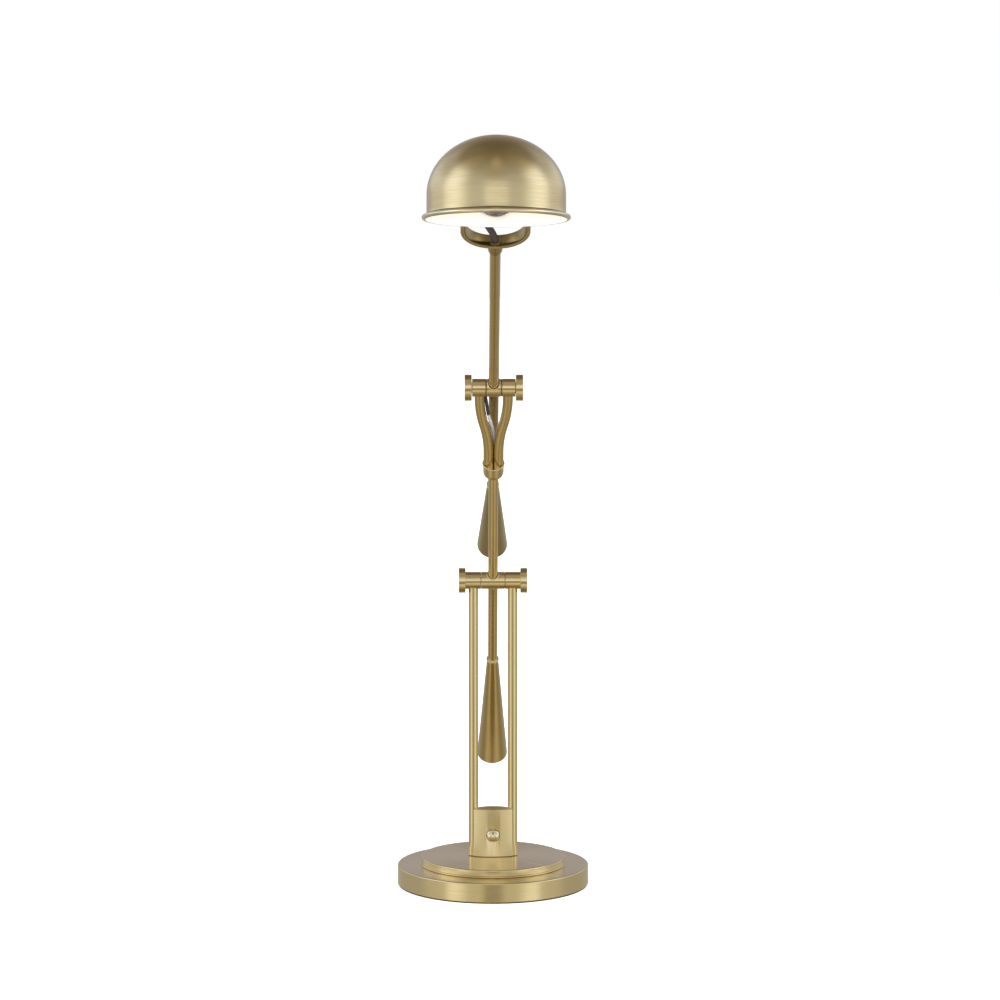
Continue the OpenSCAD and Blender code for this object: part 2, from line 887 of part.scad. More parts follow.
module shade() {
    bead_x = rim_d / 2 - rim_bead_r;
    color(brass)
    difference() {
        translate([0, dome_y, -pivot_up])
        rotate_extrude($fn = 128)
        union() {
            difference() {
                shade_profile(0);
                shade_profile(shade_wall);
            }
            // The rolled rim and the small cove above it
            difference() {
                translate([shade_d / 2 - shade_wall, 0])
                    square([bead_x - shade_d / 2 + shade_wall, 2 * rim_bead_r]);
                translate([bead_x + 0.4, 2 * rim_bead_r + 0.8])
                    circle(r = 2.2);
            }
            translate([bead_x, rim_bead_r])
                circle(r = rim_bead_r);
        }
        rod_y(-pivot_back - cup_reach, 0, holder_r + 0.3);
    }
}

// The socket cup filled to its axis, shrunk by inset and open at the front
module cup_solid(inset) {
    front = cup_back + pivot_back + cup_reach;
    r = cup_r - inset;
    round_r = cup_round - inset;
    translate([0, cup_back, 0])
        rotate([90, 0, 0])
        rotate_extrude($fn = 96)
        polygon(concat(
            [[0, front + inset], [0, inset]],
            arc([r - round_r, cup_round], round_r, -90, 0, 8),
            [[r, front + inset]]));
}

module socket_cup() {
    color(brass)
    difference() {
        union() {
            cup_solid(0);
            for (side = [0, 1])
                mirror([side, 0, 0])
                rod_x(cup_r - 1.4, yoke_in - 0.2, pivot_boss_r);
        }
        cup_solid(cup_wall);
        rod_y(0, cup_back + past, gland_r - 0.6);
        rod_x(-yoke_w, -cup_r - 0.2, pivot_screw_r + run_gap);
        rod_x(cup_r + 0.2, yoke_w, pivot_screw_r + run_gap);
        shade_solid(-0.02);
    }
}

module lead_gland() {
    color(dark)
    difference() {
        union() {
            rod_y(cup_back - cup_wall - 1.5, cup_back + gland_len, gland_r - 0.7);
            translate([0, cup_back + 0.02, 0])
                rotate([-90, 0, 0])
                cylinder(h = gland_len - 0.02, r1 = gland_r, r2 = gland_r - 0.7);
        }
        rod_y(cup_back - 4 * cup_wall, cup_back + gland_len + past, gland_bore_r);
    }
}

module lamp_holder() {
    color(dark)
    difference() {
        rod_y(-holder_front, holder_back, holder_r);
        rod_y(-holder_front - past, holder_back - holder_floor, holder_bore_r);
    }
}

module saddle_ring() {
    color(steel)
    intersection() {
        difference() {
            rod_y(-ring_front, -pivot_back + past, ring_r);
            rod_y(-ring_front - past, 0, holder_r + 0.1);
        }
        shade_solid(shade_wall + 0.05);
    }
}

module bulb_cap() {
    color(steel)
    rod_y(-holder_front - 2, holder_back - holder_floor - 0.3, cap_r);
}

module bulb_glass() {
    neck_r = cap_r - 0.6;
    back = -holder_front - 2.02;
    color(white)
    difference() {
        union() {
            translate([0, bulb_y, 0])
                sphere(d = bulb_d, $fn = 96);
            rod_y(bulb_y, back, neck_r);
        }
        translate([0, bulb_y, 0])
            sphere(d = bulb_d - 2 * bulb_wall, $fn = 96);
        rod_y(bulb_y, back - bulb_wall, neck_r - bulb_wall);
    }
}

// ---- The assembly at rest ----

module lower_sleeve(side) {
    translate([0, 0, lower_joint_z])
        sleeve(side, lower_sleeve_x, lower_sleeve_w);
}

module lower_knob(side) {
    translate([0, 0, lower_joint_z])
        clamp_knob(side, lower_knob_x, lower_neck);
}

module at_upper_joint() {
    on_lower_arm()
        translate([0, 0, lower_len])
        children();
}

felt_pad();
base_disc();
base_weight();
step_plate();
column_bolts();
cord_bushing();
column_block();
upright(-1);  // upright_left
upright(1);  // upright_right
upright_wire();
switch_body();
switch_bezel();
switch_cover();
switch_key();
lower_sleeve(-1);  // lower_sleeve_left
lower_sleeve(1);  // lower_sleeve_right
translate([0, 0, lower_joint_z]) axle(lower_knob_x);  // lower_axle
translate([0, 0, lower_joint_z]) washers(lower_sleeve_x, lower_washer_t);  // lower_washers
lower_knob(-1);  // lower_knob_left
lower_knob(1);  // lower_knob_right
on_lower_arm() hub(lower_hub_w);  // lower_hub
on_lower_arm() tube(tube_seat, collar_top - collar_h + collar_grip);  // lower_arm_tube
on_lower_arm() tube(-lower_tail - weight_socket + 0.1, -tube_seat);  // lower_tail_tube
on_lower_arm() weight(lower_tail);  // lower_weight
on_lower_arm() weight_ring(lower_tail);  // lower_weight_ring
on_lower_arm() arm_wire(tube_seat + 0.3, collar_top - collar_h + collar_grip - 0.3);  // lower_arm_wire
on_lower_arm() fork_collar();
on_lower_arm() fork_leg(-1);  // fork_leg_left
on_lower_arm() fork_leg(1);  // fork_leg_right
color("silver") on_lower_arm() sweep(fork_route, fork_lead_r, 8);  // fork_lead
at_upper_joint() sleeve(-1, upper_sleeve_x, upper_sleeve_w);  // upper_sleeve_left
at_upper_joint() sleeve(1, upper_sleeve_x, upper_sleeve_w);  // upper_sleeve_right
at_upper_joint() axle(upper_knob_x);  // upper_axle
at_upper_joint() washers(upper_sleeve_x, upper_washer_t);  // upper_washers
at_upper_joint() clamp_knob(-1, upper_knob_x, upper_neck);  // upper_knob_left
at_upper_joint() clamp_knob(1, upper_knob_x, upper_neck);  // upper_knob_right
on_upper_arm() hub(upper_hub_w);  // upper_hub
on_upper_arm() tube(tube_seat, upper_len);  // upper_arm_tube
on_upper_arm() tube(-upper_tail - weight_socket + 0.1, -tube_seat);  // upper_tail_tube
on_upper_arm() weight(upper_tail);  // upper_weight
on_upper_arm() weight_ring(upper_tail);  // upper_weight_ring
on_upper_arm() arm_wire(tube_seat + 0.3, upper_len - 0.3);  // upper_arm_wire
on_upper_arm() swivel_socket();
on_upper_arm() swivel_screw();
on_upper_arm() swivel_stud();
on_upper_arm() yoke();
on_upper_arm() yoke_nut();
on_upper_arm() pivot_screws();
color(dark) on_upper_arm() sweep(lead_route, lead_r, 10);  // shade_lead
on_head() socket_cup();
on_head() lead_gland();
on_head() lamp_holder();
on_head() saddle_ring();
on_head() shade();
on_head() bulb_cap();
on_head() bulb_glass();
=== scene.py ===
"""Looks of a counterweighted two-arm desk lamp with a dome shade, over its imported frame.

Sizes are in millimetres until a mesh is finished. The stand, each arm and the head have a
place of their own, a matrix with +Z along the piece, and the turned pieces are drawn in it.
"""

import json
import math

import bmesh
import bpy
from mathutils import Matrix, Vector


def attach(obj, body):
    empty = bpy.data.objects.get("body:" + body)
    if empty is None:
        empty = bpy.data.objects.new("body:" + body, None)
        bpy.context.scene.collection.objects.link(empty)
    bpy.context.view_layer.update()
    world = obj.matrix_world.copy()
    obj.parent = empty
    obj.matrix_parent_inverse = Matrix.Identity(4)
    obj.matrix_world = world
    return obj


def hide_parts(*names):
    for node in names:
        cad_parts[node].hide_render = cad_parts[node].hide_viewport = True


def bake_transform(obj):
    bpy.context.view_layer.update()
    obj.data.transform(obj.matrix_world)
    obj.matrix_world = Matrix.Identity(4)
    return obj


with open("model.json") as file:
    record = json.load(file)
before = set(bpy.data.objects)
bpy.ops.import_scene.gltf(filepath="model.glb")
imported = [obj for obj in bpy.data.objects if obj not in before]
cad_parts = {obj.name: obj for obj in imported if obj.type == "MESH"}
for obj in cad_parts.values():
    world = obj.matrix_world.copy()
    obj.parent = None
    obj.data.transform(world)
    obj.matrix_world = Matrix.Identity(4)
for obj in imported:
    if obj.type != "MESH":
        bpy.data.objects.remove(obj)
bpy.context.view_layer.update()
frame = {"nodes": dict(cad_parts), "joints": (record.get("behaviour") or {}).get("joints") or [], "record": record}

MM = 0.001
MICRON = 1e-6
TURN = 2 * math.pi
JOINTS = {joint["name"]: joint for joint in frame["joints"]}
BODY_OF = {
    node: body
    for body, nodes in frame["record"]["behaviour"]["bodies"].items()
    for node in nodes
}
SHADE_LEAN = math.radians(7)
ACROSS = Vector((1, 0, 0))


# ---- Places ----


def joint_at(name):
    return Vector(JOINTS[name]["pos_m"])


def place_along(origin, direction):
    """A place at a point, with +Z along a direction in the lamp's middle plane."""
    z = Vector(direction).normalized()
    y = z.cross(ACROSS)
    turn = Matrix((ACROSS, y, z)).transposed()
    return Matrix.Translation(origin) @ turn.to_4x4()


STAND = Matrix.Identity(4)
LOWER_ARM = place_along(
    joint_at("lower_arm_tilt"), joint_at("upper_arm_tilt") - joint_at("lower_arm_tilt")
)
UPPER_ARM = place_along(joint_at("upper_arm_tilt"), JOINTS["head_swivel"]["axis"])
HEAD = place_along(joint_at("shade_tilt"), (0, math.sin(SHADE_LEAN), math.cos(SHADE_LEAN)))

# Turns that point a place's +Z along an axle, at the viewer, or the other way
ALONG_X = Matrix.Rotation(TURN / 4, 4, "Y")
ALONG_Y = Matrix.Rotation(TURN / 4, 4, "X")
OTHER_WAY = Matrix.Rotation(TURN / 2, 4, "X")


def shifted(place, x=0.0, y=0.0, z=0.0):
    return place @ Matrix.Translation(Vector((x, y, z)) * MM)


def reach(node, place=STAND):
    """Lowest and highest corner of a CAD node in a place of its own, in millimetres."""
    back = place.inverted()
    points = [back @ vertex.co / MM for vertex in frame["nodes"][node].data.vertices]
    low = Vector([min(point[i] for point in points) for i in range(3)])
    high = Vector([max(point[i] for point in points) for i in range(3)])
    return low, high


# ---- Camera, world and lights ----


def add_camera():
    """The photograph's view: a long lens a little above the lamp's middle."""
    camera_at = Vector((-17.5, -3265, 722.5)) * MM
    pitch = math.radians(5.89)
    yaw = math.radians(0.43)
    focal_px = 3315
    frame_px = 1000
    data = bpy.data.cameras.new("photo_camera")
    data.sensor_width = 36
    data.lens = focal_px * data.sensor_width / frame_px
    data.clip_end = 100
    camera = bpy.data.objects.new("photo_camera", data)
    camera.location = camera_at
    camera.rotation_euler = (TURN / 4 - pitch, 0, -yaw)
    bpy.context.scene.collection.objects.link(camera)
    bpy.context.scene.camera = camera


class Nodes:
    """Short calls for adding and joining the nodes of one tree."""

    def __init__(self, tree):
        self.tree = tree

    def add(self, kind, inputs=None, **settings):
        node = self.tree.nodes.new(kind)
        for name, value in settings.items():
            setattr(node, name, value)
        for key, value in (inputs or {}).items():
            self.feed(node.inputs[key], value)
        return node

    def feed(self, socket, value):
        """Links an input, or sets it. A colour is three numbers."""
        if isinstance(value, bpy.types.NodeSocket):
            self.tree.links.new(value, socket)
        else:
            socket.default_value = (*value, 1) if socket.type == "RGBA" else value

    def math(self, operation, *values):
        return self.add("ShaderNodeMath", dict(enumerate(values)), operation=operation).outputs[0]

    def times(self, a, b):
        return self.math("MULTIPLY", a, b)

    def line(self, value, slope, start):
        return self.math("MULTIPLY_ADD", value, slope, start)

    def vector(self, operation, *values):
        node = self.add("ShaderNodeVectorMath", dict(enumerate(values)), operation=operation)
        return node.outputs[0]

    def length(self, vector):
        return self.add("ShaderNodeVectorMath", {0: vector}, operation="LENGTH").outputs["Value"]

    def parts(self, vector):
        """The X, Y and Z of a vector."""
        return list(self.add("ShaderNodeSeparateXYZ", {"Vector": vector}).outputs)

    def joined(self, x, y, z=0.0):
        return self.add("ShaderNodeCombineXYZ", {"X": x, "Y": y, "Z": z}).outputs[0]

    def noise(self, vector, scale, detail=2.0):
        node = self.add("ShaderNodeTexNoise", {"Vector": vector, "Scale": scale, "Detail": detail})
        return node.outputs["Fac"]

    def smooth(self, value, low, high, to_low=0.0, to_high=1.0):
        ends = {"From Min": low, "From Max": high, "To Min": to_low, "To Max": to_high}
        soft = {"interpolation_type": "SMOOTHSTEP"}
        return self.add("ShaderNodeMapRange", {"Value": value, **ends}, **soft).outputs["Result"]

    def mix(self, share, a, b):
        node = self.add("ShaderNodeMix", data_type="RGBA")
        for label, value in (("Factor", share), ("A", a), ("B", b)):
            self.feed(node.inputs[label], value)
        return node.outputs["Result"]


def grey(level):
    return (level, level, level)


# What the metal mirrors, as upright strips at five turns from the front. Each has
# (degrees above the horizon, red, green, blue) stops from straight down to straight up.
FRONT = (
    (-88, 0.28, 0.21, 0.11), (-64, 0.34, 0.28, 0.17), (-44, 0.72, 0.66, 0.54),
    (-31, 0.72, 0.66, 0.54), (-22, 0.25, 0.22, 0.13), (-13, 0.19, 0.17, 0.10),
    (-4, 0.42, 0.39, 0.30), (2, 0.98, 0.97, 0.92), (9, 1.02, 1.02, 1.02),
    (17, 0.84, 0.87, 0.92), (28, 0.56, 0.56, 0.57), (40, 0.36, 0.34, 0.30),
    (54, 0.38, 0.34, 0.27), (72, 0.50, 0.44, 0.32), (88, 0.18, 0.145, 0.105),
)
SHOULDER = (
    (-88, 0.28, 0.21, 0.11), (-62, 0.60, 0.51, 0.34), (-36, 0.56, 0.49, 0.36),
    (-12, 0.56, 0.52, 0.40), (-2, 0.74, 0.73, 0.68), (4, 0.66, 0.66, 0.65),
    (14, 0.55, 0.57, 0.61), (34, 0.50, 0.51, 0.53), (52, 0.36, 0.33, 0.28),
    (88, 0.18, 0.145, 0.105),
)
SIDES = (
    (-88, 0.28, 0.21, 0.11), (-60, 0.60, 0.51, 0.33), (-38, 0.36, 0.31, 0.21),
    (-22, 0.66, 0.62, 0.52), (-9, 1.16, 1.14, 1.06), (14, 1.20, 1.27, 1.44),
    (34, 1.12, 1.17, 1.30), (52, 0.42, 0.38, 0.30), (66, 0.30, 0.26, 0.20),
    (88, 0.18, 0.145, 0.105),
)
REAR = (
    (-88, 0.28, 0.21, 0.11), (-62, 0.34, 0.28, 0.18), (-38, 0.30, 0.25, 0.17),
    (-22, 0.38, 0.34, 0.27), (-12, 0.56, 0.52, 0.42), (4, 0.70, 0.71, 0.76),
    (14, 0.74, 0.77, 0.88), (34, 0.46, 0.46, 0.50), (54, 0.21, 0.18, 0.14),
    (88, 0.17, 0.14, 0.10),
)
BEHIND = (
    (-88, 0.26, 0.20, 0.11), (-59, 0.28, 0.23, 0.15), (-41, 0.28, 0.24, 0.17),
    (-27, 0.34, 0.31, 0.25), (-12, 0.42, 0.40, 0.35), (6, 0.44, 0.43, 0.46),
    (14, 0.40, 0.38, 0.41), (32, 0.26, 0.23, 0.21), (55, 0.14, 0.115, 0.085),
    (88, 0.16, 0.13, 0.09),
)


def studio_world():
    """A white backdrop for the camera, and soft panels all around for the metal to mirror."""
    world = bpy.data.worlds.new("studio")
    bpy.context.scene.world = world
    world.use_nodes = True
    tree = world.node_tree
    tree.nodes.clear()
    n = Nodes(tree)
    x, y, z = n.parts(n.add("ShaderNodeTexCoord").outputs["Generated"])
    away = n.math("DEGREES", n.math("ARCTAN2", n.math("ABSOLUTE", x), n.times(y, -1.0)))
    height = n.math("DEGREES", n.math("ARCSINE", z))
    level = n.math("DIVIDE", n.math("ADD", height, 90.0), 180.0)
    # The panels stand closer to the front just below the horizon
    low = n.times(n.smooth(height, 6.0, -10.0), n.smooth(height, -40.0, -20.0))
    away = n.times(away, n.line(low, 0.7, 1.0))

    def strip(stops):
        node = n.add("ShaderNodeValToRGB", {"Fac": level})
        node.color_ramp.interpolation = "EASE"
        points = node.color_ramp.elements
        while len(points) < len(stops):
            points.new(1.0)
        for point, (degrees, *colour) in zip(points, stops):
            point.position = (degrees + 90) / 180
            point.color = (*colour, 1)
        return node.outputs["Color"]

    light = strip(FRONT)
    for start, end, stops in (
        (10, 28, SHOULDER), (42, 78, SIDES), (86, 108, REAR), (138, 165, BEHIND)
    ):
        light = n.mix(n.smooth(away, start, end), light, strip(stops))

    camera_ray = n.add("ShaderNodeLightPath").outputs["Is Camera Ray"]
    mirrored = n.add("ShaderNodeBackground", {"Color": light, "Strength": 1.0}).outputs[0]
    seen = n.add("ShaderNodeBackground", {"Color": grey(1.0), "Strength": 1.0}).outputs[0]
    mixed = n.add("ShaderNodeMixShader", {0: camera_ray, 1: mirrored, 2: seen})
    n.add("ShaderNodeOutputWorld", {"Surface": mixed.outputs[0]})


def soft_light(name, at, size, power):
    """A big soft panel that lights the matt surfaces and isn't mirrored in the metal."""
    data = bpy.data.lights.new(name, "AREA")
    data.shape = "SQUARE"
    data.size = size
    data.energy = power
    lamp = bpy.data.objects.new(name, data)
    lamp.location = at
    lamp_middle = Vector((0, -0.1, 0.35))
    lamp.rotation_euler = (lamp_middle - Vector(at)).to_track_quat("-Z", "Y").to_euler()
    lamp.visible_camera = False
    lamp.visible_glossy = False
    bpy.context.scene.collection.objects.link(lamp)


def add_floor():
    """A pale round floor that runs out into the white backdrop."""
    radius = 14.0
    material = bpy.data.materials.new("studio_floor")
    material.use_nodes = True
    tree = material.node_tree
    tree.nodes.clear()
    n = Nodes(tree)
    far = n.smooth(n.length(n.add("ShaderNodeTexCoord").outputs["Object"]), 0.25, 1.2)
    sheet = n.add("ShaderNodeBsdfDiffuse", {"Color": grey(0.86)})
    power = n.smooth(far, 0.0, 1.0, 0.42, 1.05)
    glow = n.add("ShaderNodeEmission", {"Color": grey(1.0), "Strength": power})
    both = n.add("ShaderNodeAddShader", {0: sheet.outputs[0], 1: glow.outputs[0]})
    n.add("ShaderNodeOutputMaterial", {"Surface": both.outputs[0]})

    mesh = bpy.data.meshes.new("studio_floor")
    shape = bmesh.new()
    bmesh.ops.create_circle(shape, cap_ends=True, segments=96, radius=radius)
    shape.to_mesh(mesh)
    shape.free()
    mesh.materials.append(material)
    floor = bpy.data.objects.new("studio_floor", mesh)
    bpy.context.scene.collection.objects.link(floor)
    floor.visible_glossy = False


def light_the_studio():
    bpy.context.scene.view_settings.view_transform = "Standard"
    studio_world()
    soft_light("overhead", (0.0, -0.4, 3.2), 2.6, 70)
    soft_light("left_front", (-1.9, -2.2, 1.5), 1.6, 26)
    soft_light("right_front", (1.9, -2.2, 1.5), 1.6, 26)
    add_floor()


# ---- Shader groups ----


def new_group(name, inputs, outputs):
    """An empty shader group. Its inputs are numbers with their defaults, or None for a vector."""
    group = bpy.data.node_groups.new(name, "ShaderNodeTree")
    for label, default in inputs.items():
        kind = "NodeSocketVector" if default is None else "NodeSocketFloat"
        socket = group.interface.new_socket(label, in_out="INPUT", socket_type=kind)
        if default is not None:
            socket.default_value = default
    for label in outputs:
        group.interface.new_socket(label, in_out="OUTPUT", socket_type="NodeSocketFloat")
    n = Nodes(group)
    return n, n.add("NodeGroupInput").outputs, n.add("NodeGroupOutput").inputs


def brushing_group():
    """Fine lines around the Z axis: rings on a wall, circles on a flat."""
    n, given, result = new_group(
        "Ring brushing", {"Vector": None, "Lines per mm": 1.2, "Drift": 2.0}, ("Lines", "Height")
    )
    x, y, z = n.parts(given["Vector"])
    flat = n.joined(x, y)
    around = {0: n.vector("NORMALIZE", flat), "Scale": given["Drift"]}
    drift = n.add("ShaderNodeVectorMath", around, operation="SCALE")
    drift_x, drift_y, _ = n.parts(drift.outputs[0])
    per_metre = n.times(given["Lines per mm"], 1 / MM)
    place = {
        "Vector": n.joined(drift_x, drift_y, n.times(z, per_metre)),
        "W": n.times(n.length(flat), per_metre),
    }
    grain = {"Scale": 1.0, "Detail": 2.0, "Roughness": 0.6}
    noise = n.add("ShaderNodeTexNoise", {**place, **grain}, noise_dimensions="4D").outputs["Fac"]
    n.feed(result["Lines"], n.smooth(noise, 0.3, 0.7))
    n.feed(result["Height"], noise)
    return n.tree


def patina_group():
    """Large soft clouds and small specks of age."""
    n, given, result = new_group(
        "Patina", {"Vector": None, "Cloud size": 0.05, "Speck size": 0.0012}, ("Clouds", "Specks")
    )
    for label, size, detail, low, high in (
        ("Clouds", "Cloud size", 3.0, 0.3, 0.7),
        ("Specks", "Speck size", 1.0, 0.62, 0.74),
    ):
        noise = n.noise(given["Vector"], n.math("DIVIDE", 1.0, given[size]), detail)
        n.feed(result[label], n.smooth(noise, low, high))
    return n.tree


def edge_group():
    """Where hands and cloths have rubbed an edge bright, lit up further as a painted highlight on every sharp
    edge, and where dirt stays in a corner.
    """
    n, given, result = new_group("Edge wear and glint", {"Start": 0.53, "Width": 0.08}, ("Worn and glint", "Hollow"))
    bend = n.add("ShaderNodeNewGeometry").outputs["Pointiness"]
    start = given["Start"]
    n.feed(result["Worn and glint"], n.smooth(bend, start, n.math("ADD", start, given["Width"])))
    hollow = n.math("SUBTRACT", 1.0, start)
    hollow_end = n.math("SUBTRACT", hollow, given["Width"])
    n.feed(result["Hollow"], n.smooth(bend, hollow, hollow_end))
    return n.tree


def weave_group():
    """A braid of two crossing sets of strands, in the turn and length around a cord."""
    n, given, result = new_group(
        "Braid", {"Vector": None, "Strands": 12.0, "Pitch": 0.35}, ("Height", "Tone")
    )
    turn, run, _ = n.parts(given["Vector"])
    turn = n.times(turn, given["Strands"])
    run = n.times(run, given["Pitch"])
    left, right = (
        n.math("SINE", n.times(n.math(way, turn, run), TURN)) for way in ("ADD", "SUBTRACT")
    )
    woven = n.times(left, right)
    n.feed(result["Height"], n.math("ABSOLUTE", woven))
    n.feed(result["Tone"], n.smooth(woven, -0.6, 0.6))
    return n.tree


BRUSHING = brushing_group()
PATINA = patina_group()
EDGES = edge_group()
BRAID = weave_group()


# ---- Materials ----

BRASS_LIGHT = (0.84, 0.70, 0.40)
BRASS_MID = (0.74, 0.60, 0.31)
BRASS_AGED = (0.55, 0.43, 0.20)
BRASS_WORN_GLINT = (0.93, 0.83, 0.58)
# The dark of the painted shade in the shadow lines
SHADOW_LINE_COLOUR = (0.09, 0.065, 0.035)


class Finish(Nodes):
    """One material with a Principled shader. The part's slot that it is given is not used."""

    def __init__(self, name, slot):
        self.material = bpy.data.materials.new(name)
        self.material.use_nodes = True
        super().__init__(self.material.node_tree)

    def feed_all(self, node, inputs):
        for label, value in inputs.items():
            self.feed(node.inputs[label.replace("_", " ")], value)

    def look(self, **inputs):
        """The material, with the inputs of its shader linked or set."""
        self.feed_all(self.tree.nodes["Principled BSDF"], inputs)
        return self.material

    def group(self, tree, **inputs):
        node = self.add("ShaderNodeGroup", node_tree=tree)
        self.feed_all(node, inputs)
        return node.outputs

    def object_point(self):
        return self.add("ShaderNodeTexCoord").outputs["Object"]

    def local_point(self, place):
        """The point as it lies in a place of its own, in metres."""
        back = place.inverted()
        node = self.add("ShaderNodeMapping", {"Vector": self.object_point()})
        node.inputs["Location"].default_value = back.to_translation()
        node.inputs["Rotation"].default_value = back.to_euler("XYZ")
        return node.outputs[0]

    def along_cord(self):
        """The turn around a swept piece and the length along it, in radii."""
        named = {"attribute_name": "around_and_along"}
        return self.add("ShaderNodeAttribute", **named).outputs["Vector"]

    def tint(self, colour, *layers):
        """The colour with (mask, share, colour) layers over it."""
        for mask, share, layer in layers:
            colour = self.mix(self.times(mask, share), colour, layer)
        return colour

    def bump(self, height, depth):
        """The normal of a relief, its depth in micrometres."""
        inputs = {"Height": height, "Distance": depth * MICRON, "Strength": 1.0}
        return self.add("ShaderNodeBump", inputs).outputs[0]

    def ring_tangent(self, local, place):
        """The direction of the brushing: around the place's Z axis."""
        around = self.vector("CROSS_PRODUCT", (0, 0, 1), local)
        turn = self.add("ShaderNodeMapping", {"Vector": around}, vector_type="VECTOR")
        turn.inputs["Rotation"].default_value = place.to_euler("XYZ")
        world = self.add(
            "ShaderNodeVectorTransform",
            {"Vector": turn.outputs[0]},
            vector_type="VECTOR",
            convert_from="OBJECT",
            convert_to="WORLD",
        )
        return world.outputs[0]


def brushed_brass(
    name, place, lines=2.6, roughness=0.20, tone=1.0, relief=3.0, spread=0.7, shadow_lines=()
):
    """Aged brass, brushed around the place's Z axis, under a thin coat of lacquer.

    The tone scales its colours, darker below 1 and lighter above, as painted shade and painted
    light; the relief is the brushing's depth in micrometres, and the spread is how far the
    brushing draws highlights out along the axis.
    A shadow line is a (height, width, depth) along that axis, in millimetres, where a dark band of painted shade
    runs."""
    f = Finish(name, "brushed_brass")
    local = f.local_point(place)
    brushing = f.group(BRUSHING, Vector=local, Lines_per_mm=lines)
    patina = f.group(PATINA, Vector=local)
    edges = f.group(EDGES)
    light, mid, aged = (
        (red * tone, green * tone**1.12, blue * tone**1.5)
        for red, green, blue in (BRASS_LIGHT, BRASS_MID, BRASS_AGED)
    )
    # The brushing, clouds and specks are the metal's own and the hollows take patina; the sharp edges are worn
    # bright and lit up as a painted highlight
    colour = f.tint(
        light,
        (brushing["Lines"], 0.4, mid),
        (patina["Clouds"], 0.10, aged),
        (patina["Specks"], 0.06, aged),
        (edges["Hollow"], 0.6, aged),
        (edges["Worn and glint"], 0.6, BRASS_WORN_GLINT),
    )
    # Painted shade: a dark band along each shadow line, where the piece meets another or has a groove
    for at, width, depth in shadow_lines:
        off = f.math("ABSOLUTE", f.math("SUBTRACT", f.parts(local)[2], at * MM))
        colour = f.mix(f.smooth(off, 0.2 * width * MM, 0.6 * width * MM, depth, 0.0), colour, SHADOW_LINE_COLOUR)
    lacquer = 0.1 + 0.2 * min(tone, 1.0)
    rough = f.line(brushing["Lines"], 0.05, roughness - 0.02)
    return f.look(
        Base_Color=colour,
        Metallic=1.0,
        Roughness=f.line(patina["Clouds"], 0.02, rough),
        Anisotropic=spread,
        Anisotropic_Rotation=0.25,
        Coat_Weight=f.line(patina["Clouds"], -0.08, lacquer),
        Coat_Roughness=0.1,
        Tangent=f.ring_tangent(local, place),
        Normal=f.bump(brushing["Height"], relief),
    )


def polished_brass(name="polished_brass", slot="polished_brass"):
    """Bright turned brass for the switch, the rings, the screws and the rolled rim."""
    f = Finish(name, slot)
    patina = f.group(PATINA, Vector=f.object_point(), Cloud_size=0.008, Speck_size=0.0006)
    clouds = patina["Clouds"]
    hollow = f.group(EDGES)["Hollow"]
    colour = f.tint(
        (0.95, 0.87, 0.62), (clouds, 0.3, (0.88, 0.76, 0.46)), (hollow, 0.6, BRASS_AGED)
    )
    return f.look(
        Base_Color=colour,
        Metallic=1.0,
        Roughness=f.line(clouds, 0.06, 0.10),
        Coat_Weight=f.line(clouds, -0.1, 0.4),
        Coat_Roughness=0.05,
        Normal=f.bump(clouds, 10),
    )


def white_enamel(name="white_enamel", slot="brushed_brass"):
    """Stoved white paint inside the shade, with a faint orange peel."""
    f = Finish(name, slot)
    point = f.object_point()
    patina = f.group(PATINA, Vector=point, Cloud_size=0.03, Speck_size=0.0009)
    colour = f.tint(
        (0.90, 0.80, 0.74),
        (patina["Clouds"], 0.35, (0.86, 0.75, 0.68)),
        (patina["Specks"], 0.1, (0.7, 0.6, 0.5)),
    )
    rough = f.line(patina["Clouds"], 0.08, 0.34)
    peel = f.bump(f.noise(point, 900.0, 1.0), 20)
    return f.look(Base_Color=colour, Roughness=rough, Normal=peel)


def felt():
    f = Finish("felt", "felt")
    point = f.object_point()
    fibres = f.noise(point, 1800.0, 3.0)
    tone = f.smooth(f.times(fibres, f.noise(point, 240.0)), 0.1, 0.5)
    colour = f.mix(tone, grey(0.006), grey(0.024))
    return f.look(Base_Color=colour, Roughness=0.95, Sheen_Weight=0.05, Normal=f.bump(fibres, 150))


def black_plastic():
    f = Finish("black_plastic", "black_plastic")
    grain = f.noise(f.object_point(), 1500.0)
    # The sharp edges are lighter: wear and a painted highlight
    colour = f.mix(f.group(EDGES)["Worn and glint"], (0.022, 0.021, 0.022), (0.07, 0.068, 0.066))
    rough = f.line(grain, 0.2, 0.32)
    return f.look(Base_Color=colour, Roughness=rough, Normal=f.bump(grain, 20))


def black_lead():
    """A soft black braid over the lead, in the cord's own turn and length."""
    f = Finish("black_lead", "black_lead")
    braid = f.group(BRAID, Vector=f.along_cord(), Strands=10.0, Pitch=0.8)
    dust = f.noise(f.object_point(), 700.0)
    colour = f.mix(braid["Tone"], (0.026, 0.022, 0.021), (0.052, 0.044, 0.040))
    return f.look(
        Base_Color=f.tint(colour, (dust, 0.3, (0.075, 0.062, 0.056))),
        Roughness=f.line(braid["Height"], -0.15, 0.75),
        Specular_IOR_Level=0.3,
        Normal=f.bump(braid["Height"], 180),
    )


def silver_lead():
    """A clear jacket over twisted tinned strands."""
    f = Finish("silver_lead", "clear_lead")
    turn, run, _ = f.parts(f.along_cord())
    twist = f.line(run, 0.35, f.times(turn, 7.0))
    strand = f.math("ABSOLUTE", f.math("SINE", f.times(twist, math.pi)))
    return f.look(
        Base_Color=f.mix(strand, (0.40, 0.37, 0.38), (0.76, 0.72, 0.74)),
        Metallic=f.smooth(strand, 0.0, 0.5, 0.2, 0.4),
        Roughness=f.smooth(strand, 0.0, 1.0, 0.5, 0.28),
        Coat_Weight=0.8,
        Coat_Roughness=0.08,
        Normal=f.bump(strand, 100),
    )


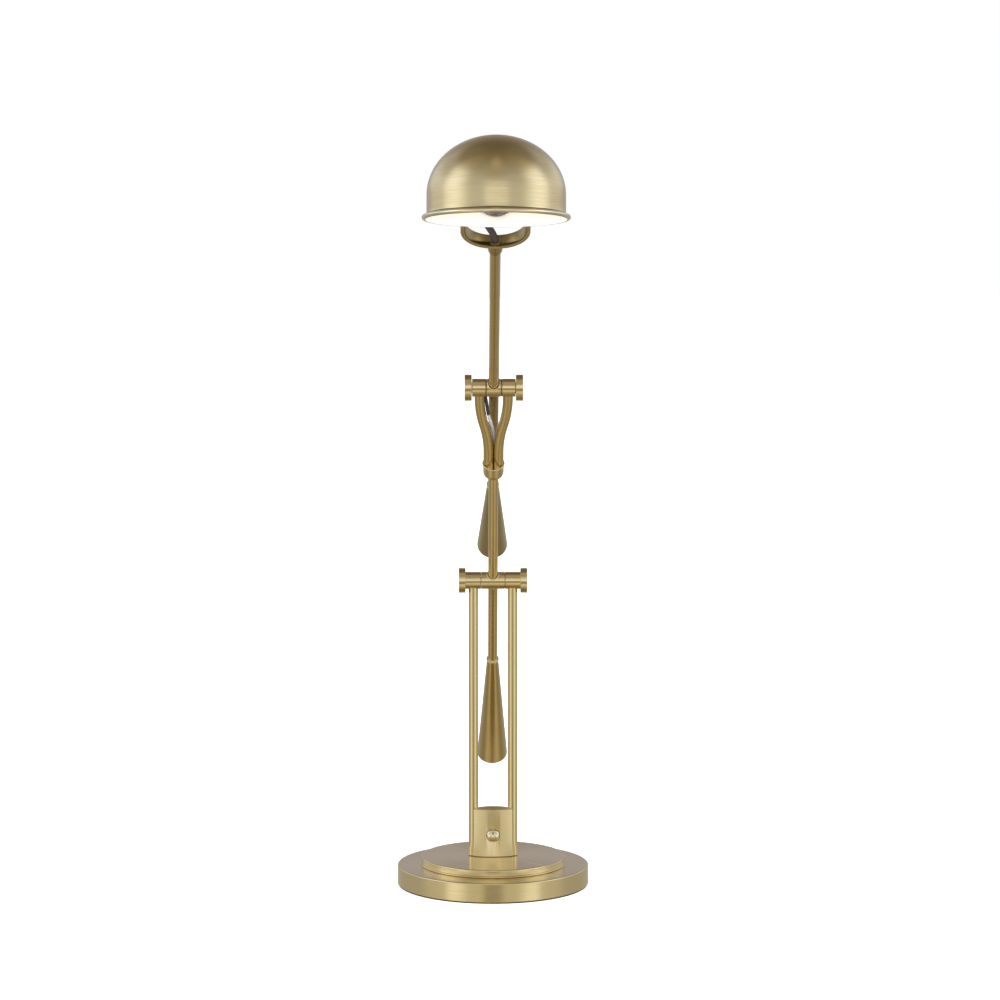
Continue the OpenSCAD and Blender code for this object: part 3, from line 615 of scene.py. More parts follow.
def metal(name, slot, dark, light, roughness, grain_scale=600.0, depth=20):
    """A plain machined, cast or pressed metal with a fine grain."""
    f = Finish(name, slot)
    point = f.object_point()
    grain = f.noise(point, grain_scale, 3.0)
    tone = f.times(grain, f.group(PATINA, Vector=point, Cloud_size=0.02)["Clouds"])
    return f.look(
        Base_Color=f.mix(tone, dark, light),
        Metallic=1.0,
        Roughness=f.line(grain, 0.16, roughness - 0.08),
        Normal=f.bump(grain, depth),
    )


def clear_glass():
    f = Finish("clear_glass", "glass")
    ripple = f.noise(f.object_point(), 60.0, 1.0)
    return f.look(
        Base_Color=f.mix(ripple, grey(0.97), (0.95, 0.93, 0.90)),
        Roughness=0.0,
        IOR=1.4,
        Transmission_Weight=1.0,
        Alpha=0.07,
        Normal=f.bump(ripple, 60),
    )


def filament_metal():
    f = Finish("filament_metal", "lamp_metal")
    grain = f.noise(f.object_point(), 2500.0)
    colour = f.mix(grain, (0.10, 0.07, 0.05), (0.30, 0.22, 0.15))
    return f.look(Base_Color=colour, Metallic=1.0, Roughness=f.line(grain, 0.2, 0.35))


# ---- Turned pieces ----


def softened(profile, closed, steps=5):
    """The profile with each corner that gives a radius as a third value turned into an arc.

    A short stretch before and after each arc holds the shading of the flats beside it."""
    count = len(profile)
    points = []
    for i, corner in enumerate(profile):
        here = Vector(corner[:2])
        radius = corner[2] if len(corner) > 2 else 0
        if not radius or (not closed and i in (0, count - 1)):
            points.append(here)
            continue
        back = Vector(profile[i - 1][:2]) - here
        ahead = Vector(profile[(i + 1) % count][:2]) - here
        back_way = back.normalized()
        ahead_way = ahead.normalized()
        half = back.angle(ahead) / 2
        leg = min(radius / math.tan(half), 0.49 * back.length, 0.49 * ahead.length)
        radius = leg * math.tan(half)
        centre = here + (back_way + ahead_way).normalized() * (radius / math.sin(half))
        start = here + back_way * leg - centre
        end = here + ahead_way * leg - centre
        sweep = math.atan2(start.x * end.y - start.y * end.x, start.dot(end))
        hold = leg + min(0.35 * radius, 0.2 * leg + 0.05)
        points.append(here + back_way * min(hold, 0.98 * back.length))
        for step in range(steps + 1):
            points.append(centre + Matrix.Rotation(sweep * step / steps, 2) @ start)
        points.append(here + ahead_way * min(hold, 0.98 * ahead.length))
    closest = 0.01
    apart = []
    for point in points:
        if not apart or (point - apart[-1]).length > closest:
            apart.append(point)
    if closed and (apart[0] - apart[-1]).length < closest:
        apart.pop()
    return apart


def quarter(centre, radius, start, end, steps):
    """Points of an arc in a profile, its angles in degrees from straight out."""
    angles = [math.radians(start + (end - start) * i / steps) for i in range(steps + 1)]
    return [(centre[0] + radius * math.cos(a), centre[1] + radius * math.sin(a)) for a in angles]


def add_turned(shape, profile, place, sides=96, ring=False, coats=()):
    """Adds to a bmesh the profile's (radius, height) points turned around the place's Z axis.

    A profile that isn't a ring starts and ends on the axis. Its coats are (first stretch,
    number of the material) from there on."""
    points = softened(profile, ring)
    rows = []
    for point in points:
        if point.x < 1e-4:
            rows.append([shape.verts.new(place @ Vector((0, 0, point.y * MM)))])
            continue
        row = []
        for k in range(sides):
            angle = TURN * k / sides
            spot = Vector((point.x * math.cos(angle), point.x * math.sin(angle), point.y))
            row.append(shape.verts.new(place @ (spot * MM)))
        rows.append(row)
    spans = len(rows) if ring else len(rows) - 1
    faces = []
    for i in range(spans):
        coat_number = max([number for start, number in coats if i >= start], default=0)
        a = rows[i]
        b = rows[(i + 1) % len(rows)]
        for k in range(sides):
            k2 = (k + 1) % sides
            corners = [a[k % len(a)], a[k2 % len(a)], b[k2 % len(b)], b[k % len(b)]]
            corners = list(dict.fromkeys(corners))
            if len(corners) > 2:
                face = shape.faces.new(corners)
                face.smooth = True
                face.material_index = coat_number
                faces.append(face)
    bmesh.ops.recalc_face_normals(shape, faces=faces)


def piece(name, mesh, materials, like, stands_for=(), blended=False):
    """One finished piece, on the body of the CAD node that it is like."""
    if not isinstance(materials, (list, tuple)):
        materials = [materials]
    obj = bpy.data.objects.new(name, mesh)
    bpy.context.scene.collection.objects.link(obj)
    for number, material in enumerate(materials):
        if number < len(mesh.materials):
            mesh.materials[number] = material
        else:
            mesh.materials.append(material)
    if not blended:
        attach(obj, BODY_OF[like])
    if stands_for:
        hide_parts(*stands_for)
    return obj


def solid(name, shape, materials, like, stands_for=(), sharp=38.0):
    """The piece that a bmesh holds, with its edges past an angle in degrees left sharp."""
    mesh = bpy.data.meshes.new(name)
    shape.to_mesh(mesh)
    shape.free()
    mesh.set_sharp_from_angle(angle=math.radians(sharp))
    return piece(name, mesh, materials, like, stands_for)


def turned(
    name, profile, place, materials, node, sides=96, ring=False, coats=(), sharp=38.0, extra=False
):
    """A turned piece that stands for one CAD node, or an extra one on it."""
    shape = bmesh.new()
    add_turned(shape, profile, place, sides, ring, coats)
    solid(name, shape, materials, node, () if extra else (node,), sharp)


def turned_ring(node, place, material, bore, rounds, sides=64, ending="_turned"):
    """A plain ring or tube as its node is, with a radius for each of its section's corners."""
    low, high = reach(node, place)
    section = ((bore, low.z), (high.x, low.z), (high.x, high.z), (bore, high.z))
    profile = [(*corner, soft) for corner, soft in zip(section, rounds)]
    turned(node + ending, profile, place, material, node, sides, ring=True)


def dressed(node, material, bevel=0.25):
    """A clean copy of a CAD node's mesh with softened edges, which stands for the node."""
    shape = bmesh.new()
    shape.from_mesh(frame["nodes"][node].data)
    bmesh.ops.remove_doubles(shape, verts=shape.verts, dist=MICRON)
    flat = math.radians(0.6)
    bmesh.ops.dissolve_limit(shape, angle_limit=flat, verts=shape.verts, edges=shape.edges)
    for face in shape.faces:
        face.smooth = True
    obj = solid(node + "_finished", shape, material, node, (node,), 30.0)
    soften = obj.modifiers.new("soft_edges", "BEVEL")
    soften.width = bevel * MM
    soften.segments = 2
    soften.limit_method = "ANGLE"
    soften.angle_limit = math.radians(40)
    soften.use_clamp_overlap = True
    soften.harden_normals = True


# ---- Pieces that follow a path ----


def tube_tree():
    """Geometry nodes: a tube of a given radius along the edges of the mesh that it is given."""
    tree = bpy.data.node_groups.new("Tube along a path", "GeometryNodeTree")
    for name, way, kind in (
        ("Geometry", "INPUT", "Geometry"),
        ("Radius", "INPUT", "Float"),
        ("Sides", "INPUT", "Int"),
        ("Finish", "INPUT", "Material"),
        ("Geometry", "OUTPUT", "Geometry"),
    ):
        tree.interface.new_socket(name, in_out=way, socket_type="NodeSocket" + kind)
    n = Nodes(tree)
    given = n.add("NodeGroupInput").outputs

    def marked(curve, name, measure):
        """The curve with a measure of its own stored on its points."""
        value = n.add("GeometryNodeSplineParameter").outputs[measure]
        inputs = {"Geometry": curve.outputs["Curve"], "Name": name, "Value": value}
        on_points = {"data_type": "FLOAT", "domain": "POINT"}
        return n.add("GeometryNodeStoreNamedAttribute", inputs, **on_points).outputs["Geometry"]

    line = marked(n.add("GeometryNodeMeshToCurve", {"Mesh": given["Geometry"]}), "along", "Length")
    circle = {"Resolution": given["Sides"], "Radius": given["Radius"]}
    ring = marked(n.add("GeometryNodeCurvePrimitiveCircle", circle), "around", "Factor")
    sweep = {"Curve": line, "Profile Curve": ring, "Fill Caps": True}
    tube = n.add("GeometryNodeCurveToMesh", sweep).outputs["Mesh"]
    smooth = n.add("GeometryNodeSetShadeSmooth", {"Geometry": tube}).outputs["Geometry"]
    real = n.add("GeometryNodeRealizeInstances", {"Geometry": smooth}).outputs["Geometry"]
    coat = n.add("GeometryNodeSetMaterial", {"Geometry": real, "Material": given["Finish"]})
    n.add("NodeGroupOutput", {"Geometry": coat.outputs["Geometry"]})
    return tree


def with_nodes(name, mesh, tree, **inputs):
    """The plain mesh that a geometry tree makes of a mesh, with its named inputs set."""
    obj = bpy.data.objects.new(name, mesh)
    bpy.context.scene.collection.objects.link(obj)
    modifier = obj.modifiers.new("shape", "NODES")
    modifier.node_group = tree
    for item in tree.interface.items_tree:
        if item.item_type == "SOCKET" and item.in_out == "INPUT" and item.name in inputs:
            modifier[item.identifier] = inputs[item.name]
    graph = bpy.context.evaluated_depsgraph_get()
    made = bpy.data.meshes.new_from_object(obj.evaluated_get(graph))
    bpy.data.objects.remove(obj)
    made.name = name
    return made


TUBE_TREE = tube_tree()


def swept(name, points, radius, material, sides, like, stands_for=(), blended=False):
    """A tube along points in metres. It keeps its turn and length for patterns that follow it."""
    path = bpy.data.meshes.new(name + "_path")
    path.from_pydata(points, [(i, i + 1) for i in range(len(points) - 1)], [])
    radius *= MM
    mesh = with_nodes(name, path, TUBE_TREE, Radius=radius, Sides=sides, Finish=material)
    mesh.set_sharp_from_angle(angle=math.radians(40))
    around = [spot.value for spot in mesh.attributes["around"].data]
    along = [spot.value / radius for spot in mesh.attributes["along"].data]
    both = mesh.attributes.new("around_and_along", "FLOAT_VECTOR", "POINT")
    for spot, turn, run in zip(both.data, around, along):
        spot.vector = (turn, run, 0)
    return piece(name, mesh, material, like, stands_for, blended)


def smooth_route(points, steps=6):
    """A smooth line through all of a route's points."""
    line = []
    last = len(points) - 1
    for i in range(last):
        p0 = points[max(i - 1, 0)]
        p1 = points[i]
        p2 = points[i + 1]
        p3 = points[min(i + 2, last)]
        for step in range(steps):
            t = step / steps
            line.append(
                0.5
                * (
                    2 * p1
                    + (p2 - p0) * t
                    + (2 * p0 - 5 * p1 + 4 * p2 - p3) * t * t
                    + (3 * p1 - p0 - 3 * p2 + p3) * t**3
                )
            )
    line.append(points[last])
    return line


def route_in(place, start, start_z, end, end_z):
    """A lead's route in metres: its first points from one height and the rest from another."""
    points = [Vector(p) + Vector((0, 0, start_z)) for p in start]
    points += [Vector(p) + Vector((0, 0, end_z)) for p in end]
    return [place @ (p * MM) for p in points]


# ---- Sizes read from the frame ----

TUBE_R = reach("lower_arm_tube", LOWER_ARM)[1].x
COLLAR_TOP = reach("fork_collar", LOWER_ARM)[1].z
LOWER_LEN = (joint_at("upper_arm_tilt") - joint_at("lower_arm_tilt")).length / MM
YOKE_FOOT = reach("yoke", UPPER_ARM)[0].z
PIVOT_Z = (joint_at("shade_tilt") - joint_at("upper_arm_tilt")).length / MM


# ---- Leads ----


def fork_lead(material, boot_material):
    """The thin clear lead from the fork collar up to the left sleeve of the upper joint."""
    radius = 1.5
    start = [(0, 4.3, -2.4), (0, 4.3, 5), (0, 4.3, 13), (0, 4.2, 21), (-0.1, 4.1, 29)]
    start += [(-0.5, 3.6, 37)]
    end = [(-1.2, 2.6, -53), (-2.7, 0.9, -45), (-4.3, 0.3, -38), (-5.6, 0.3, -30)]
    end += [(-6.4, 1, -24), (-7.4, 2.8, -17), (-8.6, 4.6, -11.5), (-9.4, 5.5, -7.4)]
    route = smooth_route(route_in(LOWER_ARM, start, COLLAR_TOP, end, LOWER_LEN))
    lead = swept("fork_lead_jacket", route, radius, material, 16, "fork_lead", ("fork_lead",))

    boot_steps = 28
    boot_line = route[-boot_steps:-3]
    boot = swept("fork_lead_boot", boot_line, radius + 0.1, boot_material, 16, "fork_lead")


def shade_lead(material):
    """The dark lead from the hollow swivel, through the yoke, into the back of the head."""
    radius = 3
    start = [(0, 0, -9.2), (0, 0, -5.5), (0, 0, -0.5), (0, 0, 5), (-0.8, 0.3, 9.7)]
    end = [(-2.8, 1.2, -57), (-5.2, 2.5, -52.4), (-7.2, 4, -47.7), (-8, 5.6, -43)]
    end += [(-7.2, 7.1, -38.2), (-5.2, 8.3, -33.5), (-2.8, 9.1, -28.8), (-0.8, 9.3, -24)]
    end += [(0, 8.8, -19.4)]
    route = smooth_route(route_in(UPPER_ARM, start, YOKE_FOOT, end, PIVOT_Z))
    node = "shade_lead"
    lead = swept("shade_lead_braid", route, radius, material, 24, node, (node,), blended=True)
    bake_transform(lead)


# ---- Base and column ----


def base(brass, felt_material):
    """The felt, the spun cover, and the step plate with its foot ring."""
    low, high = reach("felt_pad")
    pad = [(0, low.z), (high.x, low.z, 0.3), (high.x, high.z, 0.2), (0, high.z)]
    turned("felt_disc", pad, STAND, felt_material, "felt_pad")

    low, high = reach("base_disc")
    wall = 1.6
    cover = [
        (0, high.z), (high.x, high.z, 1.1), (high.x, low.z, 0.5), (high.x - wall, low.z, 0.5),
        (high.x - wall, high.z - wall, 0.8), (0, high.z - wall),
    ]
    turned("base_cover", cover, STAND, brass, "base_disc", 192)

    low, high = reach("step_plate")
    foot_out = 1.2
    foot_h = 1.8
    foot_r = foot_h / 2
    wall_r = high.x - foot_out
    step = [(0, low.z), *quarter((high.x - foot_r, low.z + foot_r), foot_r, -90, 78, 10)]
    step += [(wall_r, low.z + foot_h + 0.05, 0.1), (wall_r, high.z, 1.0), (0, high.z)]
    turned("step_disc", step, STAND, brass, "step_plate", 192)


def column(brass_block, brass_left, brass_right):
    """The block between the uprights, and the two uprights up to the sleeves."""
    dressed("column_block", brass_block, 0.45)
    top = joint_at("lower_arm_tilt").z / MM - 6
    for name, brass in (("upright_left", brass_left), ("upright_right", brass_right)):
        low, high = reach(name)
        radius = (high.x - low.x) / 2
        rod = [(0, low.z), (radius, low.z, 0.3), (radius, top, 0.3), (0, top)]
        place = shifted(STAND, x=(low.x + high.x) / 2)
        turned(name + "_tube", rod, place, brass, name, 64)


def switch(polished, plain, black):
    """The polished bezel with a thin black ring of painted shade round it, the turn key with its wing, and the
    cover at the back.
    """
    low, high = reach("switch_bezel")
    middle = (low.z + high.z) / 2
    radius = (high.z - low.z) / 2
    depth = high.y - low.y
    sunk = depth - 0.7
    bore = 3.6
    place = shifted(STAND, y=high.y, z=middle) @ ALONG_Y
    ring = [
        (bore, 0), (radius, 0, 0.2), (radius, depth * 0.55, 0.5), (radius - 0.9, depth, 0.4),
        (radius - 1.9, depth, 0.3), (radius - 2.3, sunk, 0.2), (bore, sunk, 0.2),
    ]
    turned("bezel_ring", ring, place, polished, "switch_bezel", 64, ring=True)
    # A thin black ring round the bezel on the block: painted shade for the dark line at its edge
    inside, outside = radius - 0.3, radius + 0.5
    rim = [(inside, 0.02), (outside, 0.02, 0.1), (outside, 0.35, 0.15), (inside, 0.35)]
    turned("bezel_shadow_ring", rim, place, black, "switch_body", 64, ring=True, extra=True)

    low, high = reach("switch_key")
    key_r = 5
    key_t = 2.2
    edge_t = 0.9
    wing_h = high.z - low.z
    wing_t = 2.2
    wing_out = 5
    place = shifted(STAND, y=low.y + wing_out + key_t, z=middle) @ ALONG_Y
    rise = key_t - edge_t
    dome_r = (key_r**2 + rise**2) / (2 * rise)
    tilt = math.degrees(math.asin(key_r / dome_r))
    profile = [(0, 0), (key_r, 0, 0.2), (key_r, edge_t, 0.2)]
    profile += quarter((0, key_t - dome_r), dome_r, 90 - tilt + 4, 90, 8)[:-1] + [(0, key_t)]
    shape = bmesh.new()
    add_turned(shape, profile, place, 64)
    add_wing(shape, shifted(place, z=key_t - 0.6), wing_t, wing_h * 0.84, wing_out + 0.6)
    solid("turn_key", shape, polished, "switch_key", ("switch_key",), 30)
    dressed("switch_cover", plain, 0.3)


def add_wing(shape, place, thick, high, out):
    """The key's wing: a flat tab with a round outer edge and softened faces."""
    steps = 20
    rims = []
    for level, grow in ((-1, 0.72), (-0.6, 1.0), (0.6, 1.0), (1, 0.72)):
        row = []
        for i in range(steps + 1):
            angle = math.pi * i / steps
            across = -math.cos(angle) * high / 2 * (0.94 + 0.06 * grow)
            up = math.sin(angle) ** 0.7 * out * (0.9 + 0.1 * grow)
            spot = Vector((level * thick / 2, across, up))
            row.append(shape.verts.new(place @ (spot * MM)))
        rims.append(row)
    faces = []
    for a, b in zip(rims, rims[1:]):
        for i in range(steps):
            faces.append(shape.faces.new((a[i], a[i + 1], b[i + 1], b[i])))
    faces.append(shape.faces.new(rims[0]))
    faces.append(shape.faces.new(rims[-1]))
    foot = [row[0] for row in rims] + [row[-1] for row in reversed(rims)]
    faces.append(shape.faces.new(foot))
    for face in faces:
        face.smooth = True
    bmesh.ops.recalc_face_normals(shape, faces=faces)


# ---- Cross joints ----


def cross_joint(level, place, arm, brass, washer, polished):
    """The two sleeves, the washers and the two clamp knobs on one axle."""
    axis = place @ ALONG_X
    bore = 3.05
    for way, name in ((axis @ OTHER_WAY, "left"), (axis, "right")):
        sleeve = f"{level}_sleeve_{name}"
        turned_ring(sleeve, way, brass, bore, (0.2, 0.35, 0.45, 0.2), 96)
        clamp_knob(f"{level}_knob_{name}", way, brass)
    node = f"{level}_washers"
    washer_r = reach(node, axis)[1].x
    outer = reach(f"{level}_sleeve_right", axis)[0].z
    inner = outer - (reach(node, axis)[1].z - reach(f"{level}_hub", axis)[1].z - 0.1)
    section = [(3.1, inner, 0.05), (washer_r, inner, 0.12), (washer_r, outer, 0.12)]
    section += [(3.1, outer, 0.05)]
    shape = bmesh.new()
    for way in (axis, axis @ OTHER_WAY):
        add_turned(shape, section, way, 64, ring=True)
    seat_rims(level, arm, polished)
    solid(f"{level}_washer_pair", shape, washer, node, (node,))


def clamp_knob(node, place, brass):
    """A plain disc on a short neck, with crisp edges and a shallow dish in its face."""
    low, high = reach(node, place)
    radius = high.x
    face = high.z
    knob_t = 6.7
    neck_r = 5.5
    back = face - knob_t
    dish = face - 0.35
    profile = [
        (0, low.z), (neck_r, low.z, 0.15), (neck_r, back, 0.2), (radius - 0.1, back, 0.3),
        (radius, face - 0.4, 0.1), (radius - 0.1, face, 0.35), (radius * 0.55, face, 0.3),
        (radius * 0.5, dish, 0.3), (0, dish),
    ]
    turned(node + "_turned", profile, place, brass, node, 128)


def seat_rims(level, place, polished):
    """The bright rounded lip around each tube, where it goes into the hub."""
    hub_r = reach(f"{level}_hub", place)[1].y
    lip_r = TUBE_R + 0.95
    steps = 96
    for end, way in (("front", place), ("tail", place @ OTHER_WAY)):
        ring = []
        for i in range(steps + 1):
            angle = TURN * i / steps
            y = lip_r * math.sin(angle)
            spot = Vector((lip_r * math.cos(angle), y, math.sqrt(hub_r**2 - y**2) - 0.1))
            ring.append(way @ (spot * MM))
        swept(f"{level}_hub_{end}_lip", ring, 0.5, polished, 10, f"{level}_hub")


# ---- Arms ----


def arm_tube(node, place, brass):
    wall = 1.2
    bore = reach(node, place)[1].x - wall
    turned_ring(node, place, brass, bore, (0, 0.3, 0.3, 0), ending="_drawn")


def counterweight(level, place, brass, polished):
    """A turned cone with a rounded shoulder, a domed end, and a bright ring at its small end."""
    node = f"{level}_weight"
    low, high = reach(node, place)
    small_r = 5.9
    big_r = high.x
    round_r = 2.4
    dome = 3
    dome_steps = 6
    end = low.z + dome
    profile = [(0, high.z), (small_r, high.z, 0.3), (big_r, end + 1.6, round_r)]
    for i in range(dome_steps + 1):
        left = 1 - i / dome_steps
        profile.append(((big_r - 2.6) * left, end - dome * (1 - left**2)))
    turned(node + "_cone", profile, place, brass, node, 128)
    turned_ring(f"{level}_weight_ring", place, polished, TUBE_R, (0, 0.5, 0.6, 0))


def fork(brass, leg_brass, bright):
    """The turned collar with its bright lip, and the two bent legs up to the sleeves."""
    low, high = reach("fork_collar", LOWER_ARM)
    top = high.z
    lip_r = high.x
    collar_r = lip_r - 0.75
    cup_r = collar_r - 0.35
    lip_h = 3
    cup = 2.5
    round_r = 6
    profile = [
        (0, low.z), (TUBE_R + 0.6, low.z, 0.3),
        *quarter((collar_r - round_r, low.z + round_r), round_r, -52, 0, 8),
        (collar_r, top - lip_h, 0.2), (lip_r, top - lip_h + 0.4, 0.4), (lip_r, top, 0.5),
        (cup_r, top, 0.3), (cup_r, top - cup, 0.3), (0, top - cup),
    ]
    turned("fork_collar_turned", profile, LOWER_ARM, brass, "fork_collar")
    bead = quarter((lip_r - 0.45, top - 0.45), 0.6, 0, 345, 15)
    turned(
        "fork_collar_lip", bead, LOWER_ARM, bright, "fork_collar", ring=True, sharp=60, extra=True
    )

    foot_x = 4.9
    top_x = 13.4
    bend_len = 69
    straight = 13
    bend_top = LOWER_LEN - straight
    bend_foot = bend_top - bend_len
    sweep = 2 * math.atan((top_x - foot_x) / bend_len)
    bend_r = bend_len / (2 * math.sin(sweep))
    steps = 16
    arc = quarter((bend_r, 0), bend_r, 180, 180 - math.degrees(sweep), steps)
    line = [(foot_x, top - cup)]
    line += [(foot_x + x, bend_foot + z) for x, z in arc]
    line += [(top_x - x, bend_top - z) for x, z in reversed(arc[:-1])]
    line.append((top_x, LOWER_LEN - 5))
    for side, node in ((-1, "fork_leg_left"), (1, "fork_leg_right")):
        points = [LOWER_ARM @ (Vector((side * x, 0, z)) * MM) for x, z in line]
        swept(node + "_bent", points, TUBE_R, leg_brass, 48, node, (node,))


# ---- Swivel and yoke ----


def swivel(brass, steel):
    """The socket on the arm's end, its set screw, and the hollow stud of the yoke."""
    low, high = reach("swivel_socket", UPPER_ARM)
    radius = high.x
    shoulder = quarter((radius - 3, low.z + 4), 3, -55, 0, 8)
    profile = [(0, low.z), (TUBE_R + 0.5, low.z, 0.3), *shoulder, (radius, high.z, 1.0)]
    profile += [(0, high.z)]
    turned("swivel_socket_turned", profile, UPPER_ARM, brass, "swivel_socket")

    step = high.z + 0.1
    low, high = reach("swivel_stud", UPPER_ARM)
    bore = 3.3
    stud_r = 4
    profile = [
        (bore, low.z), (stud_r, low.z, 0.2), (stud_r, step, 0.1), (5, step, 0.2),
        (5.6, YOKE_FOOT, 0.2), (stud_r, YOKE_FOOT, 0.1), (stud_r, high.z, 0.3),
        (bore, high.z, 0.2),
    ]
    turned("swivel_stud_turned", profile, UPPER_ARM, brass, "swivel_stud", 64, ring=True)

    low, high = reach("swivel_screw", UPPER_ARM)
    place = shifted(UPPER_ARM, y=high.y, z=(low.z + high.z) / 2) @ ALONG_Y
    length = high.y - low.y
    hex_floor = length - 0.8
    profile = [(0, 0), (1.5, 0, 0.1), (1.5, length, 0.3), (0.75, length, 0.1)]
    profile += [(0.6, hex_floor, 0.1), (0, hex_floor)]
    turned("swivel_set_screw", profile, place, steel, "swivel_screw", 32)


def yoke(brass, rim, shadowed, polished):
    """The U of bent strap with round eyes, its nut, and the slotted pivot screws."""
    low, high = reach("yoke", UPPER_ARM)
    half = high.x
    eye_r = high.y
    foot = low.z
    strap = 6
    thick = 4
    corner = 28.5
    soft = 0.55
    outer = corner - thick / 2
    flat = half - corner
    wall_x = half - thick / 2
    rise = foot + corner
    upright = TURN / 4
    flat_steps, bend_steps, wall_steps, eye_steps = 4, 28, 8, 24
    line = [(flat * i / flat_steps, foot + thick / 2, 0) for i in range(flat_steps)]
    for i in range(bend_steps + 1):
        a = upright * i / bend_steps
        line.append((flat + outer * math.sin(a), foot + corner - outer * math.cos(a), a))
    for i in range(1, wall_steps + 1):
        line.append((wall_x, rise + (PIVOT_Z - eye_r - rise) * i / wall_steps, upright))
    for i in range(1, eye_steps + 1):
        line.append((wall_x, PIVOT_Z - eye_r * math.cos(math.pi * i / eye_steps), upright))
    line = [(-x, z, -a) for x, z, a in reversed(line[1:])] + line

    shape = bmesh.new()
    rows = []
    for x, z, a in line:
        wide = strap
        off = abs(z - PIVOT_Z)
        if off < eye_r or z > PIVOT_Z:
            round_w = math.sqrt(max(eye_r**2 - off**2, 0))
            wide = round_w if z > PIVOT_Z else max(strap, round_w)
        wide = max(wide, 0.02)
        rows.append(strap_ring(shape, x, z, a, wide, thick, min(soft, 0.45 * wide)))
    # The flats keep the brass; the narrow sides take bright brass as a painted highlight and the rounded corners
    # dark brass as painted shade
    narrow_sides = (3, 11)
    faces = []
    for a, b in zip(rows, rows[1:]):
        for k in range(len(a)):
            k2 = (k + 1) % len(a)
            face = shape.faces.new((a[k], a[k2], b[k2], b[k]))
            if k in narrow_sides:
                face.material_index = 1
            elif k % 4 < 3:
                face.material_index = 2
            faces.append(face)
    faces += [shape.faces.new(rows[0]), shape.faces.new(rows[-1])]
    for face in faces:
        face.smooth = True
    bmesh.ops.recalc_face_normals(shape, faces=faces)
    solid("yoke_strap", shape, [brass, rim, shadowed], "yoke", ("yoke",), 32)
    turned_ring("yoke_nut", UPPER_ARM, brass, 4.1, (0, 0.2, 0.6, 0.2))
    dressed("pivot_screws", polished)


def strap_ring(shape, x, z, a, wide, thick, soft):
    """One ring of the strap: a rectangle with rounded corners, across the path at angle a."""
    out = Vector((math.sin(a), 0, -math.cos(a)))
    side = Vector((0, 1, 0))
    ring = []
    for turn, (u, v) in enumerate(((1, 1), (-1, 1), (-1, -1), (1, -1))):
        for i in range(4):
            angle = TURN / 4 * (turn + i / 3)
            across = u * (thick / 2 - soft) + soft * math.cos(angle)
            along = v * (wide - soft) + soft * math.sin(angle)
            spot = Vector((x, 0, z)) + out * across + side * along
            ring.append(shape.verts.new(UPPER_ARM @ (spot * MM)))
    return ring


# ---- Head ----


def shade(brass, bright, enamel):
    """The spun dome with its rolled bright rim: brushed brass outside, white enamel inside."""
    low, high = reach("shade", HEAD)
    bead_r = 2
    bead_x = high.x - bead_r
    wall = 0.9
    body_r = 57.5
    in_r = body_r - wall
    skirt = 20.5
    dome = high.z - low.z - skirt
    place = shifted(HEAD, y=(low.y + high.y) / 2, z=low.z)
    steps = 30
    angles = [TURN / 4 * i / steps for i in range(steps)]

    outside = [(0, skirt + dome)]
    for a in reversed(angles):
        outside.append((body_r * math.cos(a), skirt + dome * math.sin(a)))
    outside += [(body_r, skirt * 0.7), (body_r, skirt * 0.45), (body_r, 6.4), (body_r + 0.06, 5.6)]
    outside += [(body_r + 0.25, 4.9), (body_r + 0.75, 4.1)]
    bead_from = len(outside)
    outside += quarter((bead_x, bead_r), bead_r, 96, -90, 18)
    inside_from = len(outside)
    inside = [(bead_x - 1.2, 0.12), (in_r + 0.5, 0.5), (in_r, 1.4), (in_r, skirt * 0.5)]
    for a in angles:
        inside.append((in_r * math.cos(a), skirt + (dome - wall) * math.sin(a)))
    inside.append((0, skirt + dome - wall))
    coats = [(bead_from, 1), (inside_from, 2)]
    turned(
        "shade_spun", outside + inside, place, [brass, bright, enamel], "shade", 192,
        coats=coats, sharp=50,
    )


def socket(brass, black, painted, metal_cap):
    """The cup behind the shade, its gland, the lamp holder, the saddle ring and the lamp's cap."""
    dressed("socket_cup", brass, 0.3)
    dressed("lead_gland", black, 0.2)
    dressed("lamp_holder", black, 0.3)
    dressed("saddle_ring", painted, 0.2)
    low, high = reach("bulb_cap", HEAD)
    place = shifted(HEAD, y=high.y) @ ALONG_Y
    length = high.y - low.y
    threads = 6
    profile = [(0, 0), (4, 0, 0.5), (8, 2.5, 0.6)]
    for i in range(threads):
        z = 4 + (length - 9) * i / threads
        profile += [(11.2, z, 0.4), (12.6, z + 1.3, 0.6)]
    profile += [(11.4, length - 4, 0.4), (13, length - 3, 0.4), (13, length, 0.3), (0, length)]
    turned("bulb_screw_cap", profile, place, metal_cap, "bulb_cap", 64)


